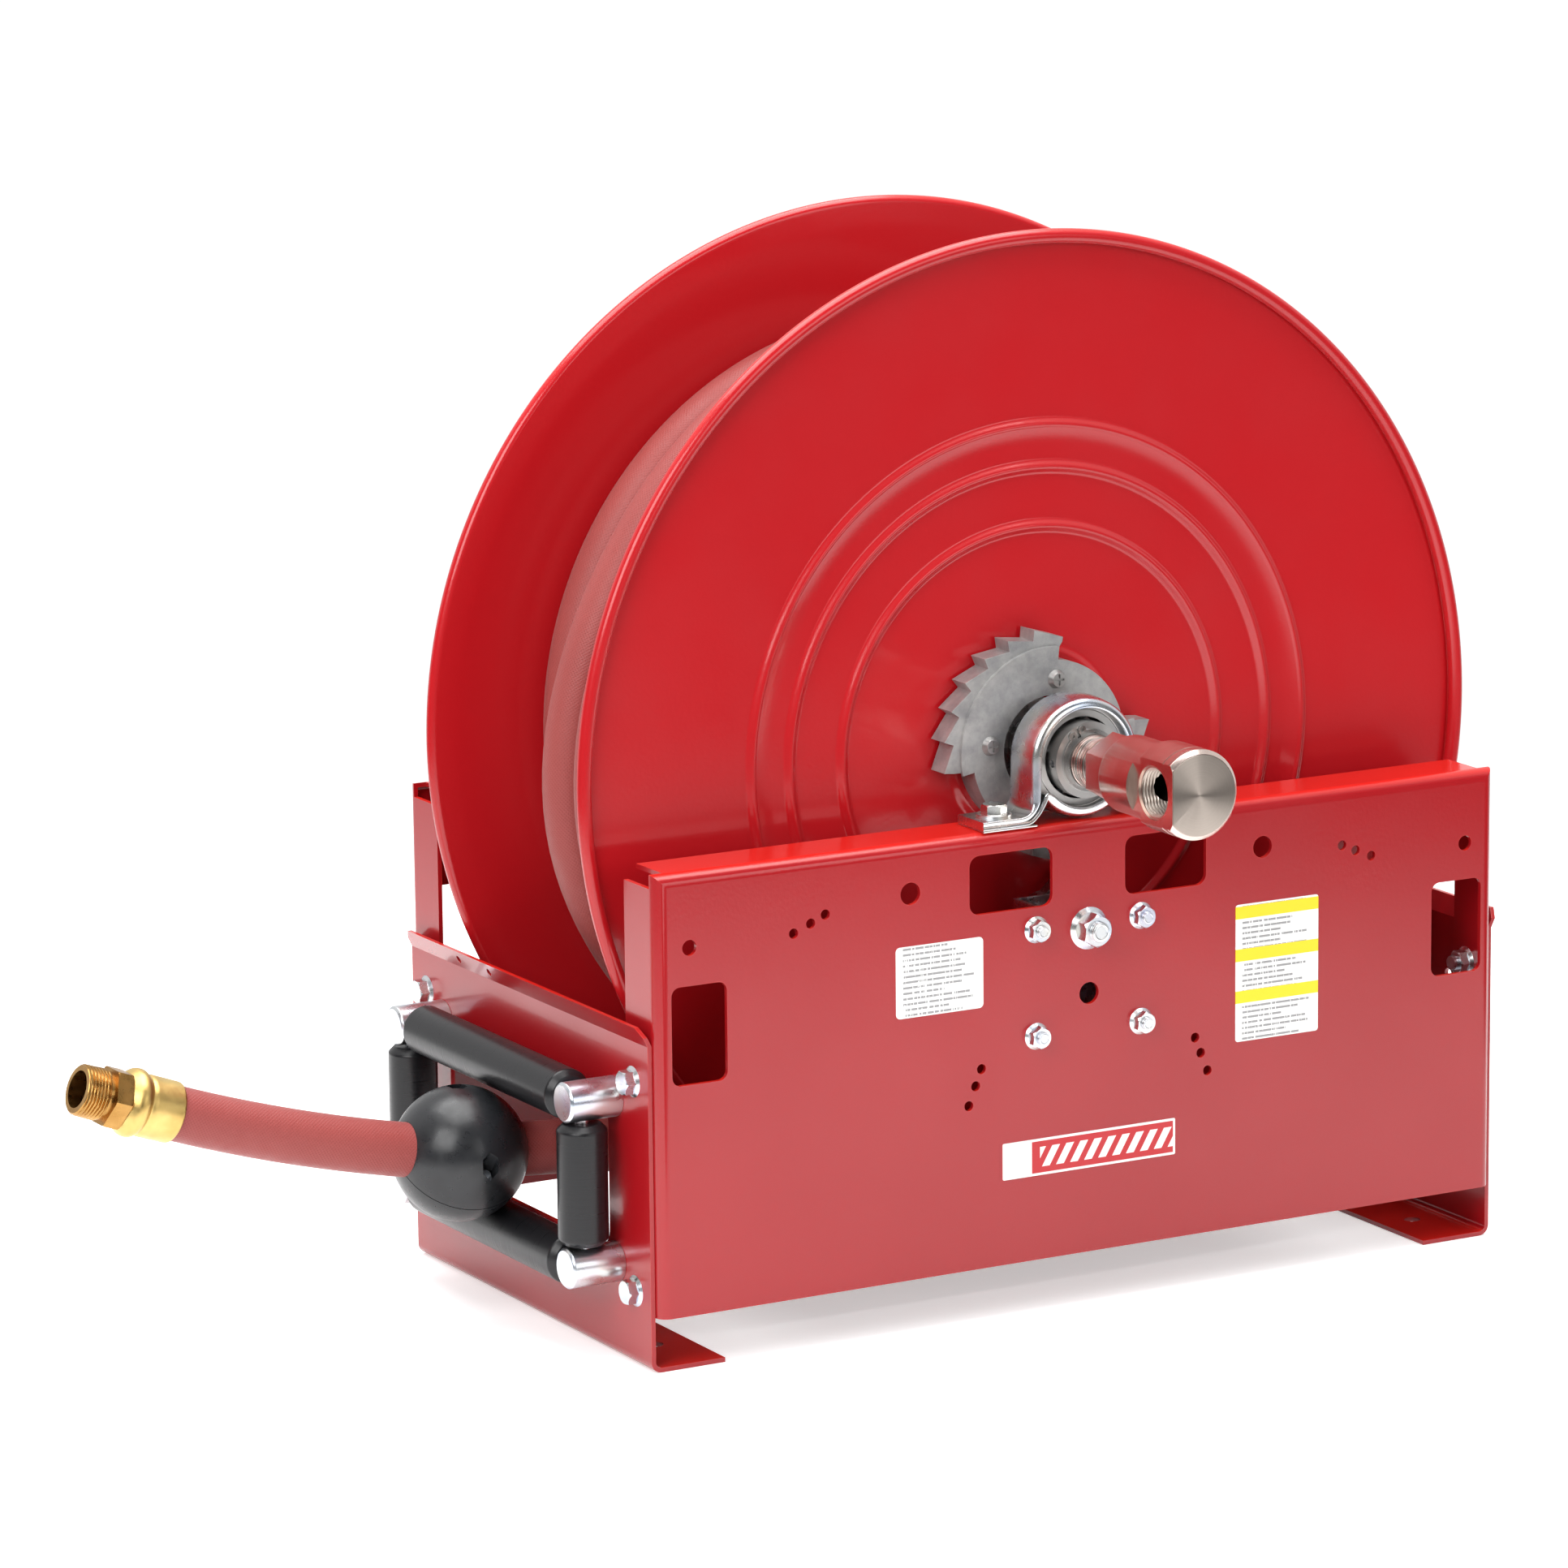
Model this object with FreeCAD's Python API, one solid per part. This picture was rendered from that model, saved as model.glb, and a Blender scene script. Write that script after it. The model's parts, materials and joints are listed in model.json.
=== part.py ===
import FreeCAD, Part
import math
import os
from FreeCAD import Vector

os.makedirs("parts", exist_ok=True)

# Spring-rewind hose reel. Millimetres. The origin is on the floor under the middle of the
# drum. X runs along the side panels with the hose guide at -X, Y runs along the drum's
# shaft with the inlet swivel at -Y, and Z is up.

# --- drum ---------------------------------------------------------------------------
DRUM_R = 330.0               # outside of the rolled rim
AXIS_Z = 357.0               # height of the shaft above the floor
RIM_Y = 109.0                # outermost face of each rim
RIM_BEAD_R = 4.7
DISC_T = 2.0
DISC_FACE_Y = RIM_Y - 8.0    # outer face of the flat of each disc
DISC_IN_Y = DISC_FACE_Y - DISC_T
BEADS = (205.0, 178.0, 140.0)  # radii of the pressed rings
BEAD_HALF_W = 5.0
BEAD_H = 2.8
BOSS_R = 62.0                # raised middle of each disc
BOSS_H = 2.5
BARREL_R = 188.0
BARREL_T = 2.0
OUTLET_Y = -50.0             # side outlet pipe inside the barrel
OUTLET_R = 13.0
OUTLET_BORE_R = 9.5
OUTLET_LEN = 160.0

# --- shaft and front bearing --------------------------------------------------------
SHAFT_R = 17.5
SHAFT_BORE_R = 12.7
SHAFT_FRONT_Y = -176.0
SHAFT_BACK_Y = -20.0
SHAFT_THREAD_END_Y = -162.0  # how deep the inlet thread goes
BEARING_Y = -152.0           # mid-plane of the front bearing
BEARING_OD_R = 36.0
BEARING_HALF_W = 9.0
RACE_OUT_IN_R = 31.0         # inside of the outer ring
RACE_IN_OUT_R = 23.5         # outside of the inner ring
BALL_R = 4.8
BALL_RUN = 0.03
BALL_COUNT = 9
BALL_CIRCLE_R = (RACE_OUT_IN_R + RACE_IN_OUT_R) / 2
BAND_R = 39.0                # outside of the pressed housing strap
BAND_HALF_W = 16.0           # also half the width of the feet
LIP_R = 33.0                 # inside of the turned-in lips that hold the bearing
LIP_W = 4.0
SADDLE_DROP = 27.0           # how far under the shaft the lower sheet takes over
FOOT_HALF_X = 76.0
FOOT_BOLT_X = 59.0
FOOT_BOLT_R = 4.76
STRAP_T = 2.8
PACKING_T = 1.2
SHIELD_R = 26.2              # inside of the bearing's shields
SHIELD_T = 1.0
COLLAR_R = 24.5              # long end of the inner ring, with the set screw
COLLAR_LEN = 10.0
CIRCLIP_T = 1.6
CIRCLIP_GAP_DEG = 117.0

# --- ratchet and pawl ---------------------------------------------------------------
RATCHET_TIP_R = 77.0
RATCHET_ROOT_R = 70.0
RATCHET_SMOOTH_R = 56.5
RATCHET_BORE_R = 33.5
FRONT_HOLE_R = 29.0          # hole in the front disc behind it
RATCHET_PITCH_DEG = 15.0
RATCHET_TEETH = 7
RATCHET_FIRST_TIP_DEG = 97.2
RATCHET_HOOK_DEG = 83.0
RATCHET_BACK_Y = -(DISC_FACE_Y + BOSS_H)
RATCHET_PLATE_Y = -120.5     # face of the toothed plate
RATCHET_FACE_Y = -122.5      # face of the raised middle
RATCHET_RAISED_R = 65.0
RATCHET_SCREW_R = 44.0       # circle the screws sit on
SCREW_R = 3.0                # shank of the small screws
RATCHET_SCREW_DEG = (83.0, 173.0, 263.0, 353.0)
PAWL_Z = 247.9
PAWL_TILT_DEG = 42.0         # how far the resting pawl leans from the vertical
PAWL_FRONT_Y = -119.0
PAWL_BACK_Y = -110.0
PAWL_LEN = 36.0
PIVOT_R = 6.35

# --- side panels --------------------------------------------------------------------
SHEET = 3.0
PANEL_FACE_Y = 170.5
PANEL_HALF_X = 311.8
PANEL_LOW_Z = 35.4
PANEL_TOP_Z = 317.4
PANEL_DEPTH = 41.0           # how far the flanges turn in
PANEL_BEND_R = 8.0
LABEL_T = 0.3
BRACKET_X = 39.0
BRACKET_ZS = (251.5, 182.2)
BRACKET_BOLT_R = 3.97

# --- end plates ---------------------------------------------------------------------
PLATE_FACE_X = 315.0
PLATE_HALF_Y = 163.6
PLATE_BEND_Z = 209.0
LIP_OUT = 6.0
LIP_UP = 12.0
LIP_HOLE_YS = (46.0, 89.0)   # small holes in the roller plate's lip
LIP_HOLE_R = 2.4
FOOT_DEPTH = 52.0
FOOT_BEND_R = 7.0
FOOT_HOLE_X = 287.0
FOOT_HOLE_Y = 115.0
FOOT_HOLE_R = 5.5
JOIN_Y = 143.0               # bolts that join plates and panels
JOIN_ZS = (183.0, 48.7)
JOIN_R = 4.76

# --- hose guide ---------------------------------------------------------------------
POST_R = 13.0
POST_Y = 118.5
POST_ZS = (168.8, 62.3)
POST_LEN = 36.5
POST_SCREW_R = 3.97
GUIDE_X = -338.0             # plane of the roller axes
ROLLER_R = 16.0
ROLLER_CHAMFER = 4.0
AXLE_R = 4.76
AXLE_RUN = 0.05              # running clearance of a roller on its axle
ROLLER_LONG = 207.0
ROLLER_SHORT = 78.0
AXLE_SEAT = 6.5              # depth of the blind axle holes in the posts
OPENING_HALF_Y = 110.0
OPENING_ZS = (69.0, 162.0)

# --- hose ---------------------------------------------------------------------------
HOSE_R = 17.5
HOSE_Y = -7.0
WRAP_PITCH = 35.4
LAYER_STEP = 31.0
LAYER_R = 269.0              # radius of the outer layer's centre line
HOSE_START_X = -30.0         # where the free hose leaves the drum
BEND_LEAD = 14.0             # the first bend starts this far before the ball's middle
HOSE_BENDS = ((250.0, 6.3), (1130.0, 9.7))  # radius and turn in degrees
LOOP_GAP = 0.2
STOP_R = 43.6
STOP_X = -367.5
STOP_Z = 114.2
STOP_SPLIT_DEG = 132.5       # direction of the split's normal in the Y-Z plane
STOP_BOLT_OFF = 31.0
STOP_GAP = 0.6
STOP_LEDGE = 12.0            # from the split to a bolt's seat
STOP_SCREW_R = 3.0
STOP_HEX_AF = 10.0
FERRULE_R = 22.0
FERRULE_GRIP = 25.0          # how much of the hose the ferrule covers
FERRULE_NOSE = 12.0          # how far the ferrule runs past the hose's end
HEX_AF = 38.0
HEX_LEN = 11.0
THREAD_R = 16.7              # male thread, one inch pipe
NECK_R = 15.5                # plain part behind the thread
COUPLING_LEN = 42.0          # from the hose's end to the coupling's tip

# --- swivel -------------------------------------------------------------------------
SWIVEL_FACE_Y = -301.0
SWIVEL_R = 28.6
SWIVEL_CHAMFER = 2.6
SWIVEL_STEP_Y = -264.0
SWIVEL_NECK_R = 25.0
SWIVEL_NECK_Y = -222.0
SWIVEL_HEX_LEN = 21.0
PORT_FLAT_X = -20.0
PORT_Y = -278.7
PORT_R = 14.8
STEM_R = 14.0
STEM_BORE_R = 9.5
STEM_END_Y = -254.0
SEAL_R = 17.0
SEAL_W = 3.0
SEAL_YS = (-247.0, -233.0)

# --- spring motor -------------------------------------------------------------------
CASE_R = 117.0
CASE_T = 2.5
CASE_BACK_Y = DISC_FACE_Y    # outer face of the rear disc, which the flange sits on
CASE_DEPTH = 62.0
CASE_FLANGE_R = 132.0
CASE_SCREW_R = 124.5
CASE_SCREWS = 6
COVER_T = 3.0
ARBOR_BACK_Y = 185.0
ARBOR_FRONT_Y = 24.0
BUSH_OUT_R = 21.0
BUSH_RUN = 0.05
STRIP_T = 1.6
STRIP_TURNS = 16
PEDESTAL_Y = 152.0
PEDESTAL_HALF_W = 16.0
PEDESTAL_R = 33.0
PEDESTAL_FOOT_T = 11.0
PIN_R = 4.0

X_AXIS = Vector(1, 0, 0)
Y_AXIS = Vector(0, 1, 0)
Z_AXIS = Vector(0, 0, 1)
HUB = Vector(0, 0, AXIS_Z)


# --- small shape helpers ------------------------------------------------------------
def box(x0, x1, y0, y1, z0, z1):
    return Part.makeBox(x1 - x0, y1 - y0, z1 - z0, Vector(x0, y0, z0))


def rod(radius, start, end):
    """A solid cylinder between two points."""
    run = end - start
    return Part.makeCylinder(radius, run.Length, start, run)


def rod_y(radius, y0, y1, x=0.0, z=AXIS_Z):
    return rod(radius, Vector(x, y0, z), Vector(x, y1, z))


def tube_y(outer, inner, y0, y1, x=0.0, z=AXIS_Z):
    return rod_y(outer, y0, y1, x, z).cut(rod_y(inner, y0 - 1, y1 + 1, x, z))


def union(shapes):
    shapes = list(shapes)
    joined = shapes[0]
    if len(shapes) > 1:
        joined = joined.multiFuse(shapes[1:]).removeSplitter()
    return joined


def group(shapes):
    """Separate identical solids kept in one node."""
    return Part.makeCompound(list(shapes))


def polygon(points):
    return Part.Face(Part.makePolygon(list(points) + [points[0]]))


def placed(shape, origin, direction):
    """Moves a shape built along +Z at the origin so that it points along direction."""
    turn = FreeCAD.Rotation(Z_AXIS, direction)
    moved = shape.copy()
    moved.Placement = FreeCAD.Placement(origin, turn)
    return moved


def hex_prism(across_flats, height, z0=0.0):
    corner = across_flats / math.sqrt(3)
    ring = [Vector(corner * math.cos(math.radians(60 * i + 30)),
                   corner * math.sin(math.radians(60 * i + 30)), z0) for i in range(6)]
    return polygon(ring).extrude(Vector(0, 0, height))


def hex_head(across_flats, height, flange_r=0.0, flange_t=1.8):
    """A hexagon head on +Z with rounded corners and an optional washer flange under it."""
    top = height + flange_t if flange_r else height
    head = hex_prism(across_flats, top)
    dome = Part.makeCone(across_flats * 0.72, across_flats * 0.5, top * 0.4,
                         Vector(0, 0, top * 0.6))
    head = head.common(union([Part.makeCylinder(across_flats * 0.72, top * 0.6), dome]))
    if flange_r:
        brim = Part.makeCone(flange_r, flange_r * 0.8, flange_t)
        head = union([head, brim])
    return head


def bolt(origin, direction, shank_r, shank_len, head):
    """A bolt whose head's seat is at origin and whose shank runs along direction."""
    top = placed(head, origin, direction * -1)
    return union([top, rod(shank_r, origin, origin + direction * shank_len)])


def nut(origin, direction, body, hole_r):
    """A nut whose seat is at origin and which stands up along direction."""
    hole = Part.makeCylinder(hole_r, 60, Vector(0, 0, -5))
    return placed(body.cut(hole), origin, direction)


def fillet_along(shape, radius, wanted):
    edges = [e for e in shape.Edges if wanted(e)]
    return shape.makeFillet(radius, edges)


def is_line_along(edge, axis):
    ends = edge.Vertexes
    if len(ends) != 2:
        return False
    run = ends[1].Point - ends[0].Point
    return abs(abs(run.normalize().dot(axis)) - 1) < 1e-6


def middle(edge):
    return edge.BoundBox.Center


def turned_round(shape):
    """The same part turned half a turn about the vertical."""
    other = shape.copy()
    other.rotate(Vector(0, 0, 0), Z_AXIS, 180)
    return other


# --- frame --------------------------------------------------------------------------
def window(x0, x1, z0, z1, radius):
    """A round-cornered cutter through a side panel's face."""
    cutter = box(x0, x1, -PANEL_FACE_Y - 5, -PANEL_FACE_Y + 2 * SHEET, z0, z1)
    return fillet_along(cutter, radius, lambda e: is_line_along(e, Y_AXIS))


def panel_hole(x, z, radius):
    return rod(radius, Vector(x, -PANEL_FACE_Y - 5, z), Vector(x, -PANEL_FACE_Y + 2 * SHEET, z))


def front_side_panel():
    face_y = -PANEL_FACE_Y
    back_y = face_y + PANEL_DEPTH
    outer = box(-PANEL_HALF_X, PANEL_HALF_X, face_y, back_y, PANEL_LOW_Z, PANEL_TOP_Z)
    inner = box(-PANEL_HALF_X + SHEET, PANEL_HALF_X - SHEET, face_y + SHEET, back_y + 1,
                PANEL_LOW_Z - 1, PANEL_TOP_Z - SHEET)

    def bend(e):
        on_face = abs(middle(e).y - e.BoundBox.YMin) < 0.01 and e.BoundBox.YMin < face_y + SHEET + 0.1
        upright = is_line_along(e, Z_AXIS)
        top = is_line_along(e, X_AXIS) and middle(e).z > AXIS_Z / 2
        return on_face and (upright or top)

    outer = fillet_along(outer, PANEL_BEND_R, bend)
    inner = fillet_along(inner, PANEL_BEND_R - SHEET, bend)
    panel = outer.cut(inner)
    relief = 9.0
    cutters = []
    for side in (-1, 1):
        x = side * PANEL_HALF_X
        cutters.append(box(min(x, x - side * relief), max(x, x - side * relief),
                           face_y + PANEL_BEND_R, back_y + 1,
                           PANEL_TOP_Z - relief, PANEL_TOP_Z + 1))
        for x_hole, z_hole, r_hole in ((288.4, 270.2, 5.0), (131.0, 285.7, 7.15),
                                       (214.9, 270.3, 3.25), (202.7, 275.2, 3.25),
                                       (192.2, 279.7, 3.25), (79.9, 166.1, 3.25),
                                       (84.2, 155.5, 3.25), (89.3, 143.2, 3.25)):
            cutters.append(panel_hole(side * x_hole, z_hole, r_hole))
        for z_hole in BRACKET_ZS:
            cutters.append(panel_hole(side * BRACKET_X, z_hole, BRACKET_BOLT_R))
        for z_hole in JOIN_ZS:
            cutters.append(rod(JOIN_R, Vector(side * 300, -JOIN_Y, z_hole),
                               Vector(side * 330, -JOIN_Y, z_hole)))
        cutters.append(rod(FOOT_BOLT_R, Vector(side * FOOT_BOLT_X, BEARING_Y, PANEL_TOP_Z - 10),
                           Vector(side * FOOT_BOLT_X, BEARING_Y, PANEL_TOP_Z + 5)))
        low, high = sorted((side * 262.5, side * 301.5))
        cutters.append(window(low, high, 183.3, 246.0, 6.0))
        low, high = sorted((side * 27.0, side * 88.0))
        cutters.append(window(low, high, 266.2, 304.2, 7.0))
    cutters.append(panel_hole(0, 205.6, 7.15))
    cutters.append(panel_hole(0, PAWL_Z, PIVOT_R))
    return panel.cut(cutters)


def end_plate_blank():
    """The folded plate at -X: foot flange turned in under the reel, top edge flared out."""
    x_out = -PLATE_FACE_X
    x_in = x_out + SHEET
    wall = box(x_out, x_in, -PLATE_HALF_Y, PLATE_HALF_Y, 0, PLATE_BEND_Z)
    foot = box(x_out, x_out + FOOT_DEPTH, -PLATE_HALF_Y, PLATE_HALF_Y, 0, SHEET)
    blank = union([wall, foot])
    blank = fillet_along(blank, FOOT_BEND_R, lambda e: is_line_along(e, Y_AXIS)
                         and abs(middle(e).x - x_out) < 0.1 and middle(e).z < 1)
    blank = fillet_along(blank, FOOT_BEND_R - SHEET, lambda e: is_line_along(e, Y_AXIS)
                         and abs(middle(e).x - x_in) < 0.1 and abs(middle(e).z - SHEET) < 0.1)
    lip = polygon([Vector(x_out, -PLATE_HALF_Y, PLATE_BEND_Z - 1),
                   Vector(x_in, -PLATE_HALF_Y, PLATE_BEND_Z - 1),
                   Vector(x_in, -PLATE_HALF_Y, PLATE_BEND_Z),
                   Vector(x_in - LIP_OUT, -PLATE_HALF_Y, PLATE_BEND_Z + LIP_UP),
                   Vector(x_out - LIP_OUT, -PLATE_HALF_Y, PLATE_BEND_Z + LIP_UP),
                   Vector(x_out, -PLATE_HALF_Y, PLATE_BEND_Z)])
    blank = union([blank, lip.extrude(Vector(0, 2 * PLATE_HALF_Y, 0))])
    corner = 7.0
    for y in (-PLATE_HALF_Y, PLATE_HALF_Y):
        toward = math.copysign(1, -y)
        tip = polygon([Vector(x_out - 20, y - toward, PLATE_BEND_Z + LIP_UP + 1),
                       Vector(x_out - 20, y + toward * corner, PLATE_BEND_Z + LIP_UP + 1),
                       Vector(x_out - 20, y - toward, PLATE_BEND_Z + LIP_UP - corner)])
        blank = blank.cut(tip.extrude(Vector(40, 0, 0)))
    holes = []
    for y in (-1, 1):
        for z in JOIN_ZS:
            holes.append(rod(JOIN_R, Vector(x_out - 5, y * JOIN_Y, z),
                             Vector(x_in + 5, y * JOIN_Y, z)))
        for z in POST_ZS:
            holes.append(rod(POST_SCREW_R, Vector(x_out - 5, y * POST_Y, z),
                             Vector(x_in + 5, y * POST_Y, z)))
        holes.append(rod(FOOT_HOLE_R, Vector(-FOOT_HOLE_X, y * FOOT_HOLE_Y, -1),
                         Vector(-FOOT_HOLE_X, y * FOOT_HOLE_Y, SHEET + 1)))
    return blank.cut(holes)


def roller_end_plate():
    opening = box(-PLATE_FACE_X - 1, -PLATE_FACE_X + SHEET + 1,
                  -OPENING_HALF_Y, OPENING_HALF_Y, OPENING_ZS[0], OPENING_ZS[1])
    opening = fillet_along(opening, 12.0, lambda e: is_line_along(e, X_AXIS))
    z_hole = PLATE_BEND_Z + LIP_UP / 2
    holes = [rod(LIP_HOLE_R, Vector(-PLATE_FACE_X - 20, y, z_hole),
                 Vector(-PLATE_FACE_X + 10, y, z_hole)) for y in LIP_HOLE_YS]
    return end_plate_blank().cut([opening] + holes)


def join_points():
    """Plate and panel joints: outer seat and the direction the bolt enters."""
    for side in (-1, 1):
        for y in (-JOIN_Y, JOIN_Y):
            for z in JOIN_ZS:
                yield Vector(side * PLATE_FACE_X, y, z), X_AXIS * -side


def end_plate_bolts():
    head = hex_head(14.3, 6.2, 10.0)
    return group(bolt(seat, way, JOIN_R, 18, head) for seat, way in join_points())


def end_plate_nuts():
    body = hex_head(14.3, 6.2, 10.0)
    inside = PLATE_FACE_X - PANEL_HALF_X + SHEET
    return group(nut(seat + way * inside, way, body, JOIN_R) for seat, way in join_points())


def label(x0, x1, z0, z1, radius):
    """A thin sheet stuck on the front panel's face."""
    sheet = box(x0, x1, -PANEL_FACE_Y - LABEL_T, -PANEL_FACE_Y, z0, z1)
    return fillet_along(sheet, radius, lambda e: is_line_along(e, Y_AXIS))


# --- front bearing ------------------------------------------------------------------
def housing_section(outline):
    """An outline round the bearing as a strap with lips turned in at both edges."""
    y0, y1 = BEARING_Y - BAND_HALF_W, BEARING_Y + BAND_HALF_W
    strap = outline(BEARING_OD_R, y0, y1)
    lips = [outline(LIP_R, y0, y0 + LIP_W), outline(LIP_R, y1 - LIP_W, y1)]
    return union([strap] + lips)


def band(z0, z1):
    """The part of the pressed housing's ring between two heights."""
    return housing_section(lambda r, y0, y1: tube_y(BAND_R, r, y0, y1).common(
        box(-60, 60, y0 - 1, y1 + 1, z0, z1)))


def leg(s):
    """Straight side of the strap from the shaft's height down to its foot."""
    foot_z = PANEL_TOP_Z + PACKING_T + STRAP_T

    def outline(r, y0, y1):
        x0, x1 = sorted((s * r, s * BAND_R))
        return box(x0, x1, y0, y1, foot_z, AXIS_Z)

    return housing_section(outline)


def housing_feet(inner_x, z0):
    """A flat foot on each side, with its bolt hole."""
    feet = []
    for s in (-1, 1):
        x0, x1 = sorted((s * inner_x, s * FOOT_HALF_X))
        foot = box(x0, x1, BEARING_Y - BAND_HALF_W, BEARING_Y + BAND_HALF_W, z0, z0 + STRAP_T)
        foot = fillet_along(foot, 4.0, lambda e: is_line_along(e, Z_AXIS)
                            and abs(middle(e).x) > FOOT_HALF_X - 1)
        feet.append(foot.cut(rod(FOOT_BOLT_R, Vector(s * FOOT_BOLT_X, BEARING_Y, z0 - 1),
                                 Vector(s * FOOT_BOLT_X, BEARING_Y, z0 + 10))))
    return feet


def bearing_housing_upper():
    """Strap over the bearing: half a ring, straight legs and two feet."""
    foot_z = PANEL_TOP_Z + PACKING_T + STRAP_T
    return union([band(AXIS_Z, AXIS_Z + 60), leg(-1), leg(1)] + housing_feet(LIP_R, foot_z))


def bearing_housing_lower():
    """Saddle under the bearing, with feet between the strap and the packing."""
    foot_z = PANEL_TOP_Z + PACKING_T
    saddle = union([band(PANEL_TOP_Z, AXIS_Z - SADDLE_DROP)] + housing_feet(0, foot_z))
    bore = rod_y(BEARING_OD_R, BEARING_Y - BAND_HALF_W + LIP_W, BEARING_Y + BAND_HALF_W - LIP_W)
    opening = rod_y(LIP_R, BEARING_Y - BAND_HALF_W - 1, BEARING_Y + BAND_HALF_W + 1)
    return saddle.cut([bore, opening, bearing_housing_upper()])


def bearing_backing_plate():
    """A packing plate under each foot of the housing, on the panel."""
    plates = []
    for s in (-1, 1):
        x0, x1 = sorted((s * BEARING_OD_R, s * FOOT_HALF_X))
        plate = box(x0, x1, BEARING_Y - BAND_HALF_W, BEARING_Y + BAND_HALF_W,
                    PANEL_TOP_Z, PANEL_TOP_Z + PACKING_T)
        plates.append(plate.cut(rod(FOOT_BOLT_R, Vector(s * FOOT_BOLT_X, BEARING_Y, PANEL_TOP_Z - 5),
                                    Vector(s * FOOT_BOLT_X, BEARING_Y, PANEL_TOP_Z + 10))))
    return group(plates)


def bearing_outer_ring():
    ring = tube_y(BEARING_OD_R, RACE_OUT_IN_R, BEARING_Y - BEARING_HALF_W,
                  BEARING_Y + BEARING_HALF_W)
    groove = Part.makeTorus(BALL_CIRCLE_R, BALL_R + BALL_RUN, Vector(0, BEARING_Y, AXIS_Z), Y_AXIS)
    return ring.cut(groove)


def bearing_shields():
    """Thin rings that close the gap between the races, apart from a running clearance."""
    front, back = BEARING_Y - BEARING_HALF_W, BEARING_Y + BEARING_HALF_W - SHIELD_T
    return group(tube_y(RACE_OUT_IN_R, SHIELD_R, y, y + SHIELD_T) for y in (front, back))


def set_screw_line():
    """Where the set screw crosses the shaft's axis, and which way it points."""
    return Vector(0, BEARING_Y - 14, AXIS_Z), Vector(-1, 0, -0.03).normalize()


def bearing_inner_ring():
    front = BEARING_Y - BEARING_HALF_W
    ring = tube_y(RACE_IN_OUT_R, SHAFT_R, front, BEARING_Y + 12)
    collar = tube_y(COLLAR_R, SHAFT_R, front - COLLAR_LEN, front)
    groove = Part.makeTorus(BALL_CIRCLE_R, BALL_R + BALL_RUN, Vector(0, BEARING_Y, AXIS_Z), Y_AXIS)
    start, way = set_screw_line()
    return union([ring, collar]).cut([groove, rod(2.5, start, start + way * 40)])


def bearing_balls():
    balls = []
    for i in range(BALL_COUNT):
        angle = 2 * math.pi * i / BALL_COUNT
        centre = Vector(BALL_CIRCLE_R * math.cos(angle), BEARING_Y,
                        AXIS_Z + BALL_CIRCLE_R * math.sin(angle))
        balls.append(Part.makeSphere(BALL_R, centre))
    return group(balls)


def bearing_set_screw():
    centre, way = set_screw_line()
    start = centre + way * (SHAFT_R + 0.1)
    return rod(2.5, start, start + way * 5.5)


def circlip_y():
    """Front face of the circlip, which sits against the inner ring."""
    return BEARING_Y - BEARING_HALF_W - COLLAR_LEN - CIRCLIP_T


def shaft_circlip():
    """Split ring in the shaft's groove, with an eyed lug on each side of its gap."""
    y0 = circlip_y()
    y1 = y0 + CIRCLIP_T
    pieces = [tube_y(SHAFT_R + 2.6, SHAFT_R - 1.0, y0, y1)]
    eyes = []
    for s in (-1, 1):
        turn = math.radians(CIRCLIP_GAP_DEG + s * 10.5)
        x, z = (SHAFT_R + 3.4) * math.cos(turn), AXIS_Z + (SHAFT_R + 3.4) * math.sin(turn)
        pieces.append(rod_y(2.9, y0, y1, x, z))
        eyes.append(rod_y(1.1, y0 - 1, y1 + 1, x, z))
    gap = box(0, 30, y0 - 1, y1 + 1, -1.2, 1.2)
    gap.rotate(Vector(0, 0, 0), Y_AXIS, -CIRCLIP_GAP_DEG)
    gap.translate(Vector(0, 0, AXIS_Z))
    return union(pieces).cut([gap, rod_y(SHAFT_R - 1.0, y0 - 1, y1 + 1)] + eyes)


# --- drum ---------------------------------------------------------------------------
def disc_curve(out):
    """The disc's outer face from the boss to the rim, as edges in (radius, y)."""
    edges = []

    def at(r, lift):
        return Vector(r, out * (DISC_FACE_Y + lift), AXIS_Z)

    def slope(points):
        curve = Part.BSplineCurve()
        curve.interpolate([at(*p) for p in points],
                          InitialTangent=X_AXIS, FinalTangent=X_AXIS)
        edges.append(curve.toShape())

    here = BOSS_R + 4
    slope([(BOSS_R - 4, BOSS_H), (BOSS_R, BOSS_H / 2), (here, 0)])
    for ring in sorted(BEADS):
        edges.append(Part.makeLine(at(here, 0), at(ring - BEAD_HALF_W, 0)))
        slope([(ring - BEAD_HALF_W, 0), (ring - BEAD_HALF_W / 2, BEAD_H / 2), (ring, BEAD_H)])
        slope([(ring, BEAD_H), (ring + BEAD_HALF_W / 2, BEAD_H / 2), (ring + BEAD_HALF_W, 0)])
        here = ring + BEAD_HALF_W
    edges.append(Part.makeLine(at(here, 0), at(DRUM_R - RIM_BEAD_R, 0)))
    return edges


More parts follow.
